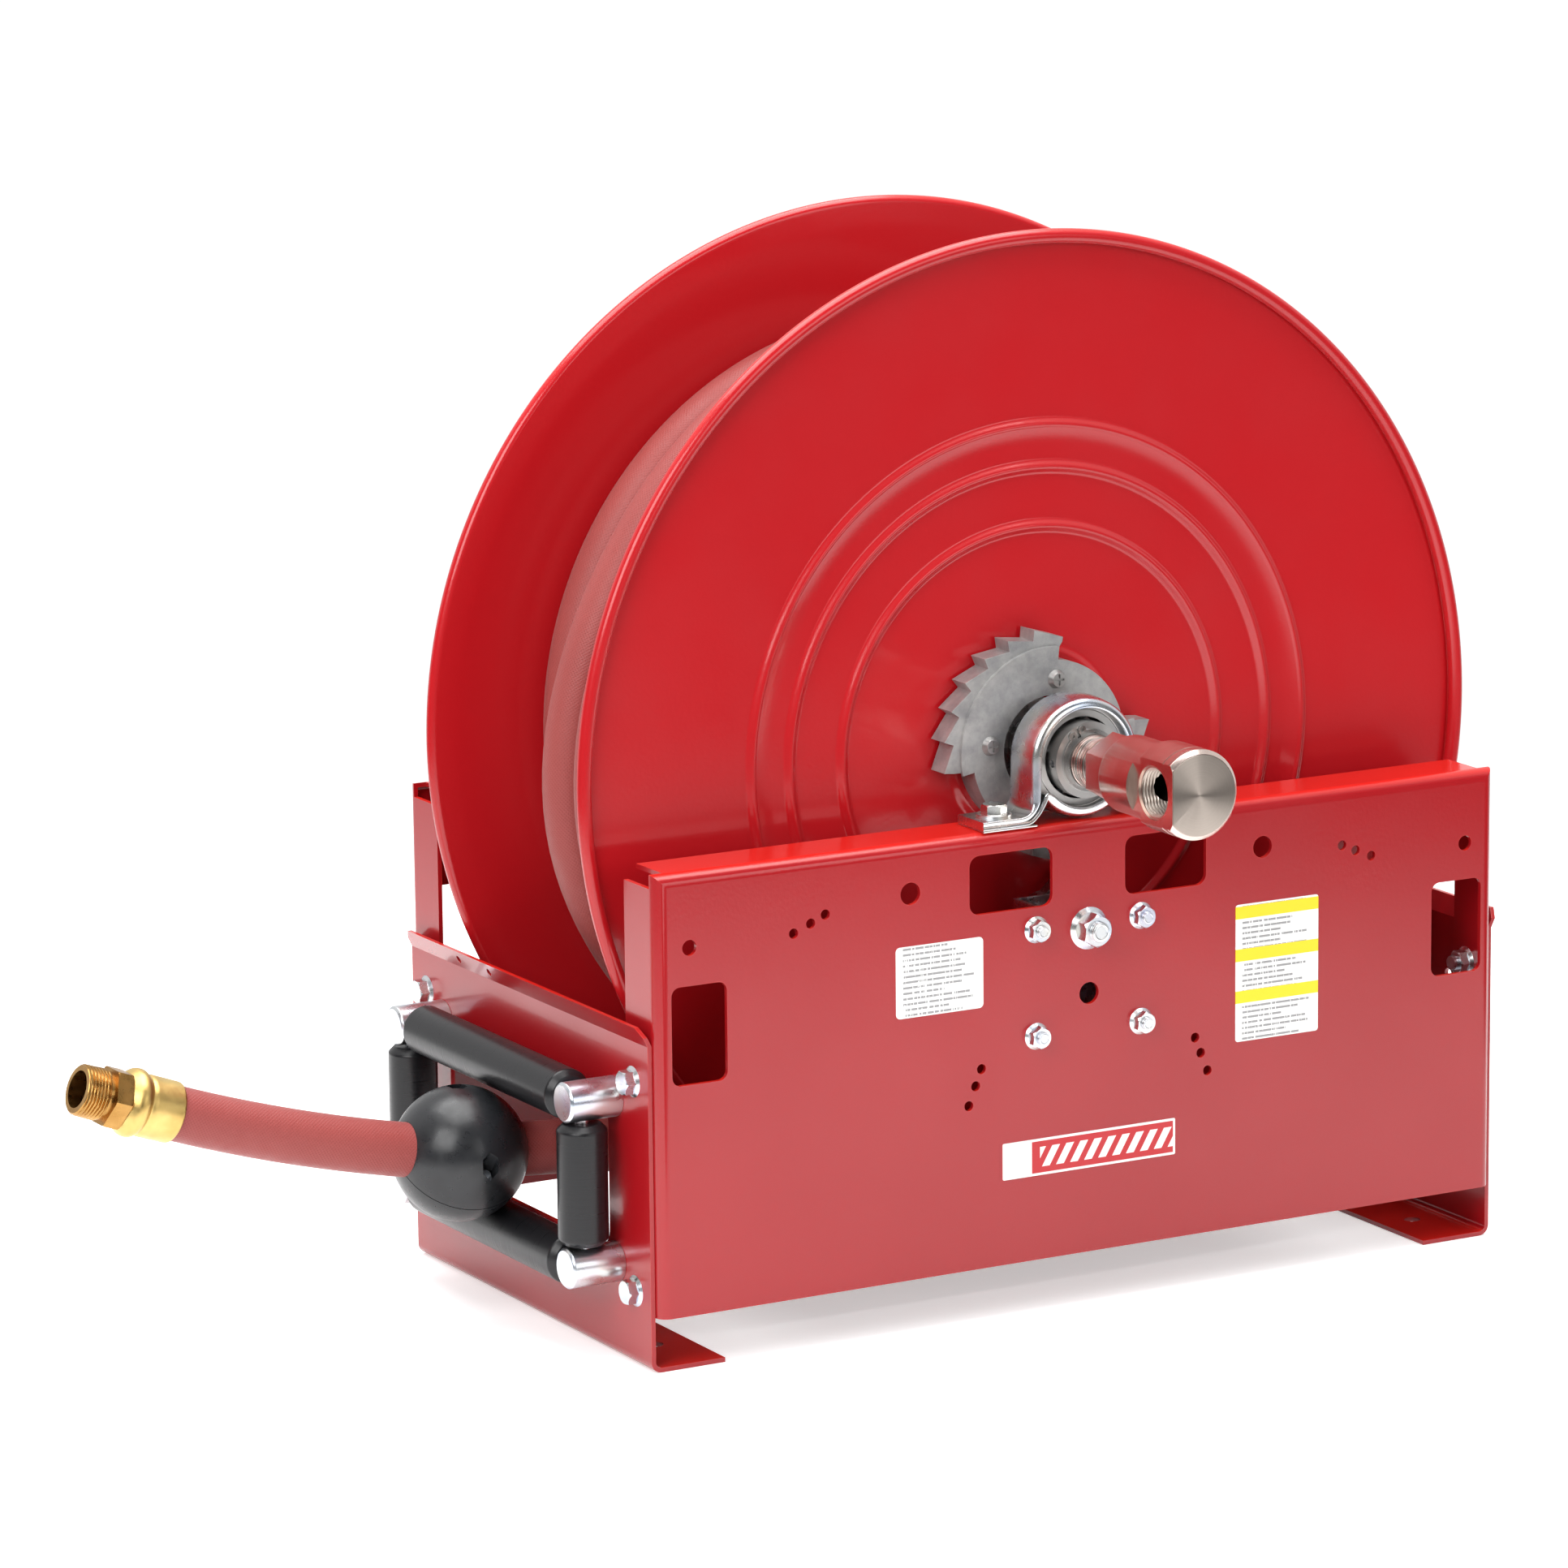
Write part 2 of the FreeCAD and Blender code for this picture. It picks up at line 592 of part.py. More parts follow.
def disc(out, hole_r):
    """One side of the drum: a pressed sheet with its edge rolled outward over a wire."""
    front = disc_curve(out)
    back = [e.translated(Vector(0, -out * DISC_T, 0)) for e in front]
    boss_y = out * (DISC_FACE_Y + BOSS_H)
    if hole_r < BOSS_R - 4:
        start = BOSS_R - 4
        front.insert(0, Part.makeLine(Vector(hole_r, boss_y, AXIS_Z), Vector(start, boss_y, AXIS_Z)))
        back.insert(0, Part.makeLine(Vector(hole_r, boss_y - out * DISC_T, AXIS_Z),
                                     Vector(start, boss_y - out * DISC_T, AXIS_Z)))
    else:
        boss_y = out * DISC_FACE_Y
    ends = []
    for r, y in ((front[0].BoundBox.XMin, boss_y), (DRUM_R - RIM_BEAD_R, out * DISC_FACE_Y)):
        ends.append(Part.makeLine(Vector(r, y, AXIS_Z), Vector(r, y - out * DISC_T, AXIS_Z)))
    wire = Part.Wire(Part.__sortEdges__(front + back + ends))
    sheet = Part.Face(wire).revolve(HUB, Y_AXIS, 360)
    bead_y = out * (RIM_Y - RIM_BEAD_R)
    bead = Part.makeTorus(DRUM_R - RIM_BEAD_R, RIM_BEAD_R, Vector(0, bead_y, AXIS_Z), Y_AXIS)
    return union([sheet, bead])


def ring_holes(radius, angles, hole_r, y0, y1):
    """Round cutters through the drum's sheets on a circle."""
    cutters = []
    for angle in angles:
        turn = math.radians(angle)
        x, z = radius * math.cos(turn), AXIS_Z + radius * math.sin(turn)
        cutters.append(rod_y(hole_r, y0, y1, x, z))
    return cutters


def case_screw_angles():
    return [360 / CASE_SCREWS * i + 30 for i in range(CASE_SCREWS)]


def front_disc():
    """The disc at the front, with holes for the ratchet's screws."""
    body = disc(-1, FRONT_HOLE_R)
    return body.cut(ring_holes(RATCHET_SCREW_R, RATCHET_SCREW_DEG, SCREW_R, -130, -80))


def rear_disc():
    """The disc at the back, open in the middle for the spring case."""
    body = disc(1, BOSS_R)
    hole = rod_y(CASE_R + 0.2, DISC_IN_Y - 20, RIM_Y + 20)
    return body.cut([hole] + ring_holes(CASE_SCREW_R, case_screw_angles(), SCREW_R, 80, 130))


def drum_barrel():
    shell = tube_y(BARREL_R, BARREL_R - BARREL_T, -DISC_IN_Y, DISC_IN_Y)
    hole = rod(OUTLET_R + 1.5, Vector(0, OUTLET_Y, AXIS_Z - 150),
               Vector(0, OUTLET_Y, AXIS_Z - 230))
    return shell.cut(hole)


def front_hub():
    """Flange and sleeve that carry the front disc on the shaft."""
    back = RATCHET_BACK_Y + DISC_T
    flange = tube_y(BOSS_R - 5, SHAFT_R, back, back + 6)
    sleeve = tube_y(SHAFT_R + 7, SHAFT_R, back, back + 28)
    holes = ring_holes(RATCHET_SCREW_R, RATCHET_SCREW_DEG, SCREW_R, -130, -60)
    return union([flange, sleeve]).cut(holes)


def main_shaft():
    """Hollow shaft: inlet thread at the front, closed at the back, side outlet."""
    body = rod_y(SHAFT_R, SHAFT_FRONT_Y, SHAFT_BACK_Y)
    bore = rod_y(SHAFT_BORE_R, SHAFT_FRONT_Y - 1, SHAFT_BACK_Y - 8)
    thread = rod_y(THREAD_R - 0.5, SHAFT_FRONT_Y - 1, SHAFT_THREAD_END_Y)
    outlet = rod(OUTLET_BORE_R, Vector(0, OUTLET_Y, AXIS_Z), Vector(0, OUTLET_Y, AXIS_Z - 40))
    groove = tube_y(SHAFT_R + 5, SHAFT_R - 1.0, circlip_y(), circlip_y() + CIRCLIP_T)
    return body.cut([bore, thread, outlet, groove])


def outlet_pipe():
    """Pipe from the shaft's side out towards the barrel, with a hexagon fitting."""
    centre = Vector(0, OUTLET_Y, AXIS_Z)
    down = Z_AXIS * -1
    pipe = rod(OUTLET_R, centre + down * 5, centre + down * OUTLET_LEN)
    collar = placed(hex_prism(34, 14), centre + down * 60, down)
    pipe = union([pipe, collar])
    bore = rod(OUTLET_BORE_R, centre, centre + down * (OUTLET_LEN + 5))
    return pipe.cut([bore, rod_y(SHAFT_R, SHAFT_FRONT_Y, SHAFT_BACK_Y)])


def ratchet_outline(phase):
    """Corners of one toothed sector, in degrees and radius from the shaft."""
    corners = [(RATCHET_HOOK_DEG - 2, RATCHET_SMOOTH_R - 6),
               (RATCHET_HOOK_DEG, RATCHET_SMOOTH_R + 6),
               (RATCHET_HOOK_DEG - 2.5, RATCHET_ROOT_R - 2),
               (RATCHET_HOOK_DEG - 2.5, RATCHET_ROOT_R + 1)]
    for i in range(RATCHET_TEETH):
        tip = RATCHET_FIRST_TIP_DEG + i * RATCHET_PITCH_DEG
        corners.append((tip, RATCHET_TIP_R))
        corners.append((tip + 1.3, RATCHET_ROOT_R))
    last = corners[-1][0]
    corners.append((last + 1.5, RATCHET_SMOOTH_R + 4))
    corners.append((last + 2.5, RATCHET_SMOOTH_R - 6))
    return [(angle + phase, radius) for angle, radius in corners]


def ratchet_ring():
    """Cast ring with two opposite sectors of hooked teeth."""
    back, plate, face = RATCHET_BACK_Y, RATCHET_PLATE_Y, RATCHET_FACE_Y
    body = [rod_y(RATCHET_SMOOTH_R, face, back)]
    for phase in (0, 180):
        points = []
        for angle, radius in ratchet_outline(phase):
            turn = math.radians(angle)
            points.append(Vector(radius * math.cos(turn), back, AXIS_Z + radius * math.sin(turn)))
        points.append(Vector(0, back, AXIS_Z))
        body.append(polygon(points).extrude(Vector(0, plate - back, 0)))
        wedge = [Vector(0, plate, AXIS_Z)]
        start = RATCHET_HOOK_DEG + phase
        span = RATCHET_PITCH_DEG * (RATCHET_TEETH - 1) + 18
        for i in range(9):
            turn = math.radians(start + span * i / 8)
            wedge.append(Vector(90 * math.cos(turn), plate, AXIS_Z + 90 * math.sin(turn)))
        raised = polygon(wedge).extrude(Vector(0, face - plate, 0))
        body.append(raised.common(rod_y(RATCHET_RAISED_R, face, plate)))
    holes = ring_holes(RATCHET_SCREW_R, RATCHET_SCREW_DEG, SCREW_R, -130, -90)
    return union(body).cut([rod_y(RATCHET_BORE_R, face - 5, back + 5)] + holes)


def ratchet_screws():
    head = Part.makeCone(6.2, 4.6, 4.0)
    slot = group([box(-3.6, 3.6, -0.7, 0.7, 2.4, 5), box(-0.7, 0.7, -3.6, 3.6, 2.4, 5)])
    head = head.cut(slot)
    screws = []
    for angle in RATCHET_SCREW_DEG:
        turn = math.radians(angle)
        seat = Vector(RATCHET_SCREW_R * math.cos(turn), RATCHET_FACE_Y,
                      AXIS_Z + RATCHET_SCREW_R * math.sin(turn))
        screws.append(bolt(seat, Y_AXIS, SCREW_R, 22, head))
    return group(screws)


def wrap_rows():
    """(radius, y) of each turn of hose on the drum, outer layer first."""
    rows = [(LAYER_R, HOSE_Y - WRAP_PITCH * k) for k in (1, 2)]
    second = HOSE_Y + WRAP_PITCH / 2
    rows += [(LAYER_R - LAYER_STEP, second + WRAP_PITCH * k) for k in (-2, -1, 0, 1)]
    rows.append((LAYER_R - LAYER_STEP, DISC_IN_Y - HOSE_R - LOOP_GAP))
    rows += [(LAYER_R - 2 * LAYER_STEP, HOSE_Y + WRAP_PITCH * k) for k in (-2, -1, 0, 1, 2)]
    return rows


def hose_wound():
    return group(Part.makeTorus(r, HOSE_R, Vector(0, y, AXIS_Z), Y_AXIS) for r, y in wrap_rows())


# --- spring motor and rear support --------------------------------------------------
def case_front_y():
    return CASE_BACK_Y - CASE_DEPTH


def spring_case():
    """Deep cup let into the rear disc, with a bushed boss at its closed end."""
    y0 = case_front_y()
    wall = tube_y(CASE_R, CASE_R - CASE_T, y0, CASE_BACK_Y)
    floor = tube_y(CASE_R, BUSH_OUT_R, y0, y0 + CASE_T)
    flange = tube_y(CASE_FLANGE_R, CASE_R - CASE_T, CASE_BACK_Y, CASE_BACK_Y + CASE_T)
    boss = tube_y(BUSH_OUT_R + 6, BUSH_OUT_R, ARBOR_FRONT_Y - 8, y0 + CASE_T)
    cap = rod_y(BUSH_OUT_R + 6, ARBOR_FRONT_Y - 10, ARBOR_FRONT_Y - 8)
    holes = ring_holes(CASE_SCREW_R, case_screw_angles(), SCREW_R, 60, 130)
    return union([wall, floor, flange, boss, cap]).cut(holes)


def spring_case_cover():
    y0 = CASE_BACK_Y + CASE_T
    plate = tube_y(CASE_FLANGE_R, BUSH_OUT_R, y0, y0 + COVER_T)
    boss = tube_y(BUSH_OUT_R + 6, BUSH_OUT_R, y0 + COVER_T, y0 + 18)
    stiff = tube_y(80.0, 72.0, y0 + COVER_T, y0 + COVER_T + 1.5)
    holes = ring_holes(CASE_SCREW_R, case_screw_angles(), SCREW_R, 60, 130)
    return union([plate, boss, stiff]).cut(holes)


def drum_bushes():
    """Bronze bushes that let the drum turn on the fixed arbor."""
    y0 = CASE_BACK_Y + CASE_T
    bore = SHAFT_R + BUSH_RUN
    return group([tube_y(BUSH_OUT_R, bore, ARBOR_FRONT_Y - 7.5, case_front_y() + CASE_T),
                  tube_y(BUSH_OUT_R, bore, y0, y0 + 18)])


def case_screws():
    """Screws with nuts that hold the spring case and its cover on the rear disc."""
    seat_y = CASE_BACK_Y + CASE_T + COVER_T
    head = hex_head(8.0, 4.0, 6.5, 1.2)
    nut_body = hex_head(8.0, 4.5)
    pieces = []
    for angle in case_screw_angles():
        turn = math.radians(angle)
        x, z = CASE_SCREW_R * math.cos(turn), AXIS_Z + CASE_SCREW_R * math.sin(turn)
        pieces.append(bolt(Vector(x, seat_y, z), Y_AXIS * -1, SCREW_R, 16, head))
        pieces.append(nut(Vector(x, DISC_IN_Y, z), Y_AXIS * -1, nut_body, SCREW_R))
    return group(pieces)


def power_spring():
    """Flat spiral strip, drawn as half turns that grow by half a pitch each."""
    inner_r = SHAFT_R + 1.0
    outer_r = CASE_R - CASE_T - 1.0
    pitch = (outer_r - inner_r - STRIP_T) / STRIP_TURNS
    y0 = case_front_y() + CASE_T + 3

    def run(offset):
        edges = []
        for i in range(2 * STRIP_TURNS):
            radius = inner_r + pitch * (i + 0.5) / 2 + offset
            side = 1 if i % 2 == 0 else -1
            centre = Vector(side * pitch / 4, y0, AXIS_Z)
            start = 0 if side > 0 else 180
            edges.append(Part.makeCircle(radius, centre, Y_AXIS * -1, start, start + 180))
        return edges

    inner, outer = run(0), run(STRIP_T)
    ends = [Part.makeLine(inner[0].Vertexes[-1].Point, outer[0].Vertexes[-1].Point),
            Part.makeLine(inner[-1].Vertexes[0].Point, outer[-1].Vertexes[0].Point)]
    wire = Part.Wire(Part.__sortEdges__(inner + outer + ends))
    return Part.Face(wire).extrude(Vector(0, CASE_DEPTH - CASE_T - 8, 0))


def spring_arbor():
    """Fixed shaft that carries the drum's bushes and the spring's inner end."""
    body = rod_y(SHAFT_R, ARBOR_FRONT_Y, ARBOR_BACK_Y)
    body = body.makeChamfer(1.5, [e for e in body.Edges if e.Curve.TypeId == "Part::GeomCircle"])
    slot = box(-2, 2, case_front_y() + CASE_T + 1, CASE_BACK_Y, AXIS_Z + SHAFT_R - 6, AXIS_Z + 30)
    pin = rod(PIN_R, Vector(0, PEDESTAL_Y, AXIS_Z - 60), Vector(0, PEDESTAL_Y, AXIS_Z + 60))
    return body.cut([slot, pin])


def pin_seat_z():
    """Flat on top of the pedestal for the pin's head."""
    return AXIS_Z + PEDESTAL_R - 2.0


def rear_pedestal():
    """Cast block on the rear panel that holds the arbor."""
    y0, y1 = PEDESTAL_Y - PEDESTAL_HALF_W, PEDESTAL_Y + PEDESTAL_HALF_W
    foot = box(-FOOT_HALF_X, FOOT_HALF_X, y0, y1, PANEL_TOP_Z, PANEL_TOP_Z + PEDESTAL_FOOT_T)
    foot = fillet_along(foot, 6.0, lambda e: is_line_along(e, Z_AXIS))
    web = box(-PEDESTAL_R, PEDESTAL_R, y0 + 3, y1 - 3, PANEL_TOP_Z, AXIS_Z)
    ring = rod_y(PEDESTAL_R, y0 + 3, y1 - 3)
    body = union([foot, web, ring])
    cut = [rod_y(SHAFT_R, y0 - 5, y1 + 5), box(-10, 10, y0, y1, pin_seat_z(), AXIS_Z + 60),
           rod(PIN_R, Vector(0, PEDESTAL_Y, AXIS_Z - 5), Vector(0, PEDESTAL_Y, AXIS_Z + 60))]
    cut += [rod(FOOT_BOLT_R, Vector(s * FOOT_BOLT_X, PEDESTAL_Y, PANEL_TOP_Z - 5),
                Vector(s * FOOT_BOLT_X, PEDESTAL_Y, AXIS_Z)) for s in (-1, 1)]
    return body.cut(cut)


def arbor_pin():
    top = pin_seat_z()
    pin = rod(PIN_R, Vector(0, PEDESTAL_Y, AXIS_Z - SHAFT_R + 1), Vector(0, PEDESTAL_Y, top))
    head = placed(hex_head(13, 5), Vector(0, PEDESTAL_Y, top), Z_AXIS)
    return union([pin, head])


def foot_seats():
    """Where the bearing's and the pedestal's foot bolts are seated."""
    for x in (-FOOT_BOLT_X, FOOT_BOLT_X):
        yield Vector(x, BEARING_Y, PANEL_TOP_Z + PACKING_T + 2 * STRAP_T)
        yield Vector(x, PEDESTAL_Y, PANEL_TOP_Z + PEDESTAL_FOOT_T)


def foot_bolts():
    head = hex_head(14.3, 6.0, 10.5)
    return group(bolt(seat, Z_AXIS * -1, FOOT_BOLT_R, seat.z - PANEL_TOP_Z + SHEET + 12, head)
                 for seat in foot_seats())


def foot_nuts():
    body = hex_head(14.3, 6.5, 10.0)
    return group(nut(Vector(seat.x, seat.y, PANEL_TOP_Z - SHEET), Z_AXIS * -1, body, FOOT_BOLT_R)
                 for seat in foot_seats())


# --- pawl ---------------------------------------------------------------------------
def bracket_points():
    for x in (-BRACKET_X, BRACKET_X):
        for z in BRACKET_ZS:
            yield x, z


def pawl_bracket():
    """Hat-shaped bracket behind the front panel that holds the pivot's inner end."""
    y_panel = -PANEL_FACE_Y + SHEET
    y_web = -123.0
    z0, z1 = BRACKET_ZS[1] - 12, BRACKET_ZS[0] + 10
    body = [box(-28, 28, y_web - SHEET, y_web, z0, z1)]
    for s in (-1, 1):
        x0, x1 = sorted((s * 25, s * 28))
        body.append(box(x0, x1, y_panel, y_web, z0, z1))
        x0, x1 = sorted((s * 25, s * 50))
        body.append(box(x0, x1, y_panel, y_panel + SHEET, z0, z1))
    holes = [rod(BRACKET_BOLT_R, Vector(x, y_panel - 1, z), Vector(x, y_panel + 10, z))
             for x, z in bracket_points()]
    holes.append(rod_y(PIVOT_R, y_panel - 5, y_web + 5, 0, PAWL_Z))
    holes.append(rod_y(9.0, y_panel - 1, y_web + 5, 0, (z0 + PAWL_Z) / 2 - 8))
    return union(body).cut(holes)


def bracket_bolts():
    head = hex_head(12.7, 5.3)
    y_seat = -PANEL_FACE_Y + 2 * SHEET
    return group(bolt(Vector(x, y_seat, z), Y_AXIS * -1, BRACKET_BOLT_R, 2 * SHEET + 9.5, head)
                 for x, z in bracket_points())


def bracket_nuts():
    body = hex_head(12.7, 5.4, 8.7)
    return group(nut(Vector(x, -PANEL_FACE_Y, z), Y_AXIS * -1, body, BRACKET_BOLT_R)
                 for x, z in bracket_points())


def pawl_pivot_bolt():
    head = Part.makeCylinder(10.0, 4.0)
    start = Vector(0, PAWL_BACK_Y + 0.3, PAWL_Z)
    return bolt(start, Y_AXIS * -1, PIVOT_R, start.y + PANEL_FACE_Y + 15.0, head)


def pawl_pivot_nut():
    body = hex_head(19.0, 9.5, 13.8, 2.4)
    return nut(Vector(0, -PANEL_FACE_Y, PAWL_Z), Y_AXIS * -1, body, PIVOT_R)


def pawl():
    """Latch lever on the pivot bolt, leaning clear of the ratchet's teeth."""
    pivot = Vector(0, PAWL_FRONT_Y, PAWL_Z)
    depth = PAWL_BACK_Y - PAWL_FRONT_Y
    eye = rod_y(13.0, PAWL_FRONT_Y, PAWL_BACK_Y, 0, PAWL_Z)
    arm = polygon([pivot + Vector(-10, 0, 0), pivot + Vector(-6, 0, PAWL_LEN - 5),
                   pivot + Vector(-2.5, 0, PAWL_LEN), pivot + Vector(2.5, 0, PAWL_LEN),
                   pivot + Vector(6, 0, PAWL_LEN - 5), pivot + Vector(10, 0, 0)])
    tail = box(-6, 6, PAWL_FRONT_Y, PAWL_BACK_Y, PAWL_Z - 26, PAWL_Z)
    lever = union([eye, arm.extrude(Vector(0, depth, 0)), tail])
    lever = lever.cut([rod_y(PIVOT_R + 0.08, PAWL_FRONT_Y - 5, PAWL_BACK_Y + 5, 0, PAWL_Z),
                       rod_y(2.0, PAWL_FRONT_Y - 5, PAWL_BACK_Y + 5, 0, PAWL_Z - 21)])
    lever.rotate(pivot, Y_AXIS, PAWL_TILT_DEG)
    return lever


def pawl_spring():
    """Flat-wire coil round the pivot bolt, with one leg each side of the pawl's tail."""
    inner, outer = PIVOT_R + 1.6, PIVOT_R + 3.2
    y0 = -PANEL_FACE_Y + PANEL_DEPTH + 6.8
    leg_len = 24.0
    coil = tube_y(outer, inner, y0, y0 + 3.2, 0, PAWL_Z)
    legs = [box(min(s * inner, s * outer), max(s * inner, s * outer), y0 + lift, y0 + lift + 1.6,
                PAWL_Z - leg_len, PAWL_Z) for s, lift in ((-1, 0.0), (1, 1.6))]
    return union([coil] + legs)


# --- hose guide ---------------------------------------------------------------------
def guide_corners():
    for y in (-POST_Y, POST_Y):
        for z in POST_ZS:
            yield y, z


def post_axle_holes(y, z):
    """Blind holes for one post's two axle ends."""
    to_y = -math.copysign(1, y)
    to_z = -1 if z == POST_ZS[0] else 1
    depth = POST_R - AXLE_SEAT
    centre = Vector(GUIDE_X, y, z)
    return [rod(AXLE_R, centre + Vector(0, to_y * depth, 0), centre + Vector(0, to_y * 30, 0)),
            rod(AXLE_R, centre + Vector(0, 0, to_z * depth), centre + Vector(0, 0, to_z * 30))]


def roller_posts():
    posts = []
    for y, z in guide_corners():
        start = Vector(-PLATE_FACE_X, y, z)
        post = rod(POST_R, start, start + X_AXIS * -POST_LEN)
        rims = [e for e in post.Edges if e.BoundBox.XMax < -PLATE_FACE_X - POST_LEN + 1
                and e.Curve.TypeId == "Part::GeomCircle"]
        post = post.makeChamfer(1.5, rims)
        tapped = rod(POST_SCREW_R, start, start + X_AXIS * -12)
        posts.append(post.cut(post_axle_holes(y, z) + [tapped]))
    return group(posts)


def post_screws():
    head = hex_head(12.7, 5.0)
    return group(bolt(Vector(-PLATE_FACE_X + SHEET, y, z), X_AXIS * -1, POST_SCREW_R,
                      SHEET + 11, head) for y, z in guide_corners())


def axle_span(centre_to_centre):
    return centre_to_centre - 2 * (POST_R - AXLE_SEAT)


def roller_axles():
    half_y = axle_span(2 * POST_Y) / 2
    z_mid = sum(POST_ZS) / 2
    half_z = axle_span(POST_ZS[0] - POST_ZS[1]) / 2
    axles = [rod(AXLE_R, Vector(GUIDE_X, -half_y, z), Vector(GUIDE_X, half_y, z)) for z in POST_ZS]
    axles += [rod(AXLE_R, Vector(GUIDE_X, y, z_mid - half_z), Vector(GUIDE_X, y, z_mid + half_z))
              for y in (-POST_Y, POST_Y)]
    return group(axles)


def roller(length, centre, direction):
    body = Part.makeCylinder(ROLLER_R, length, Vector(0, 0, -length / 2))
    body = body.makeChamfer(ROLLER_CHAMFER, [e for e in body.Edges
                                             if e.Curve.TypeId == "Part::GeomCircle"])
    bore = Part.makeCylinder(AXLE_R + AXLE_RUN, length + 2, Vector(0, 0, -length / 2 - 1))
    return placed(body.cut(bore), centre, direction)


def level_roller(z):
    return roller(ROLLER_LONG, Vector(GUIDE_X, 0, z), Y_AXIS)


def upright_roller(y):
    return roller(ROLLER_SHORT, Vector(GUIDE_X, y, sum(POST_ZS) / 2), Z_AXIS)


# --- free end of the hose -----------------------------------------------------------
def tangent_drop():
    """Angle at which the hose leaves the outer layer towards the ball stop."""
    run = Vector(STOP_X, 0, STOP_Z - AXIS_Z)
    to_axis = math.atan2(AXIS_Z - STOP_Z, -STOP_X)
    return math.asin(LAYER_R / run.Length) - to_axis


def heading(angle):
    """Direction of the free hose, with the angle measured up from -X."""
    return Vector(-math.cos(angle), 0, math.sin(angle))


def hose_runs():
    """Stretches of the free hose's centre line: start, heading, length, bend radius, turn."""
    angle = tangent_drop()
    straight = (HOSE_START_X - STOP_X) / math.cos(angle) - BEND_LEAD
    start = stop_centre() - heading(angle) * (straight + BEND_LEAD)
    runs = [(start, angle, straight, 0.0, 0.0)]
    here = start + heading(angle) * straight
    for radius, turn_deg in HOSE_BENDS:
        turn = math.radians(turn_deg)
        runs.append((here, angle, radius * turn, radius, turn))
        rise = Vector(math.sin(angle), 0, math.cos(angle)) * radius
        angle += turn
        here = here + rise - Vector(math.sin(angle), 0, math.cos(angle)) * radius
    runs.append((here, angle, FERRULE_GRIP, 0.0, 0.0))
    return runs


def hose_rod(radius):
    """A solid round bar along the free hose's centre line."""
    pieces = []
    for start, angle, length, bend, turn in hose_runs():
        if turn:
            face = Part.Face(Part.Wire(Part.makeCircle(radius, start, heading(angle))))
            centre = start + Vector(math.sin(angle), 0, math.cos(angle)) * bend
            pieces.append(face.revolve(centre, Y_AXIS, math.degrees(turn)))
        else:
            pieces.append(rod(radius, start, start + heading(angle) * length))
    return union(pieces)


def end_point():
    """Where the hose ends and which way it points."""
    start, angle, length = hose_runs()[-1][:3]
    return start + heading(angle) * length, heading(angle)


def hose_lead():
    return hose_rod(HOSE_R)


def along_end(near, far, radius):
    origin, way = end_point()
    return rod(radius, origin + way * near, origin + way * far)


def hose_ferrule():
    """Crimped collar that stands over the last of the hose."""
    body = along_end(-FERRULE_GRIP, FERRULE_NOSE, FERRULE_R)
    for k in range(4):
        near = 8 * k + 6 - FERRULE_GRIP
        body = body.cut(along_end(near, near + 1.6, FERRULE_R + 2).cut(
            along_end(near - 1, near + 3, FERRULE_R - 0.8)))
    nose_start = FERRULE_NOSE - 4
    inside = along_end(0, nose_start, HOSE_R)
    nose = along_end(nose_start, FERRULE_NOSE + 1, NECK_R)
    return body.cut([hose_lead(), inside, nose])


def hose_coupling():
    """Brass fitting: shank in the ferrule, hexagon, male pipe thread and bore."""
    origin, way = end_point()
    hex_end = FERRULE_NOSE + HEX_LEN
    nose = along_end(FERRULE_NOSE - 4, FERRULE_NOSE, NECK_R)
    hexagon = placed(hex_prism(HEX_AF, HEX_LEN), origin + way * FERRULE_NOSE, way)
    neck = along_end(hex_end, hex_end + 3, NECK_R)
    thread = along_end(hex_end + 3, COUPLING_LEN, THREAD_R)
    bore = along_end(0, COUPLING_LEN + 5, SHAFT_BORE_R - 0.5)
    return union([nose, hexagon, neck, thread]).cut(bore)


def stop_centre():
    return Vector(STOP_X, HOSE_Y, STOP_Z)


def stop_normal():
    turn = math.radians(STOP_SPLIT_DEG)
    return Vector(0, math.cos(turn), math.sin(turn))


def stop_bolt_feet():
    """Where the ball's two bolts cross the split."""
    normal = stop_normal()
    sideways = Vector(0, -normal.z, normal.y)
    return [stop_centre() + sideways * (s * STOP_BOLT_OFF) for s in (-1, 1)]


def stop_half(sign):
    """Half of the clamped ball, with a hexagon pocket over each bolt."""
    normal = stop_normal() * sign
    ball = Part.makeSphere(STOP_R, stop_centre())
    keep = placed(box(-60, 60, -60, 60, STOP_GAP / 2, 80), stop_centre(), normal)
    cut = [hose_rod(HOSE_R)]
    for foot in stop_bolt_feet():
        cut.append(placed(Part.makeCylinder(STOP_SCREW_R, 60), foot, normal))
        cut.append(placed(hex_prism(STOP_HEX_AF + 0.8, 40), foot + normal * STOP_LEDGE, normal))
    return ball.common(keep).cut(cut)


def stop_bolts():
    pieces = []
    normal = stop_normal()
    for foot in stop_bolt_feet():
        head_seat = foot - normal * STOP_LEDGE
        pieces.append(bolt(head_seat, normal, STOP_SCREW_R, 2 * STOP_LEDGE + 9,
                           hex_head(STOP_HEX_AF, 4.2)))
        pieces.append(nut(foot + normal * STOP_LEDGE, normal, hex_head(STOP_HEX_AF, 5.0),
                          STOP_SCREW_R))
    return group(pieces)


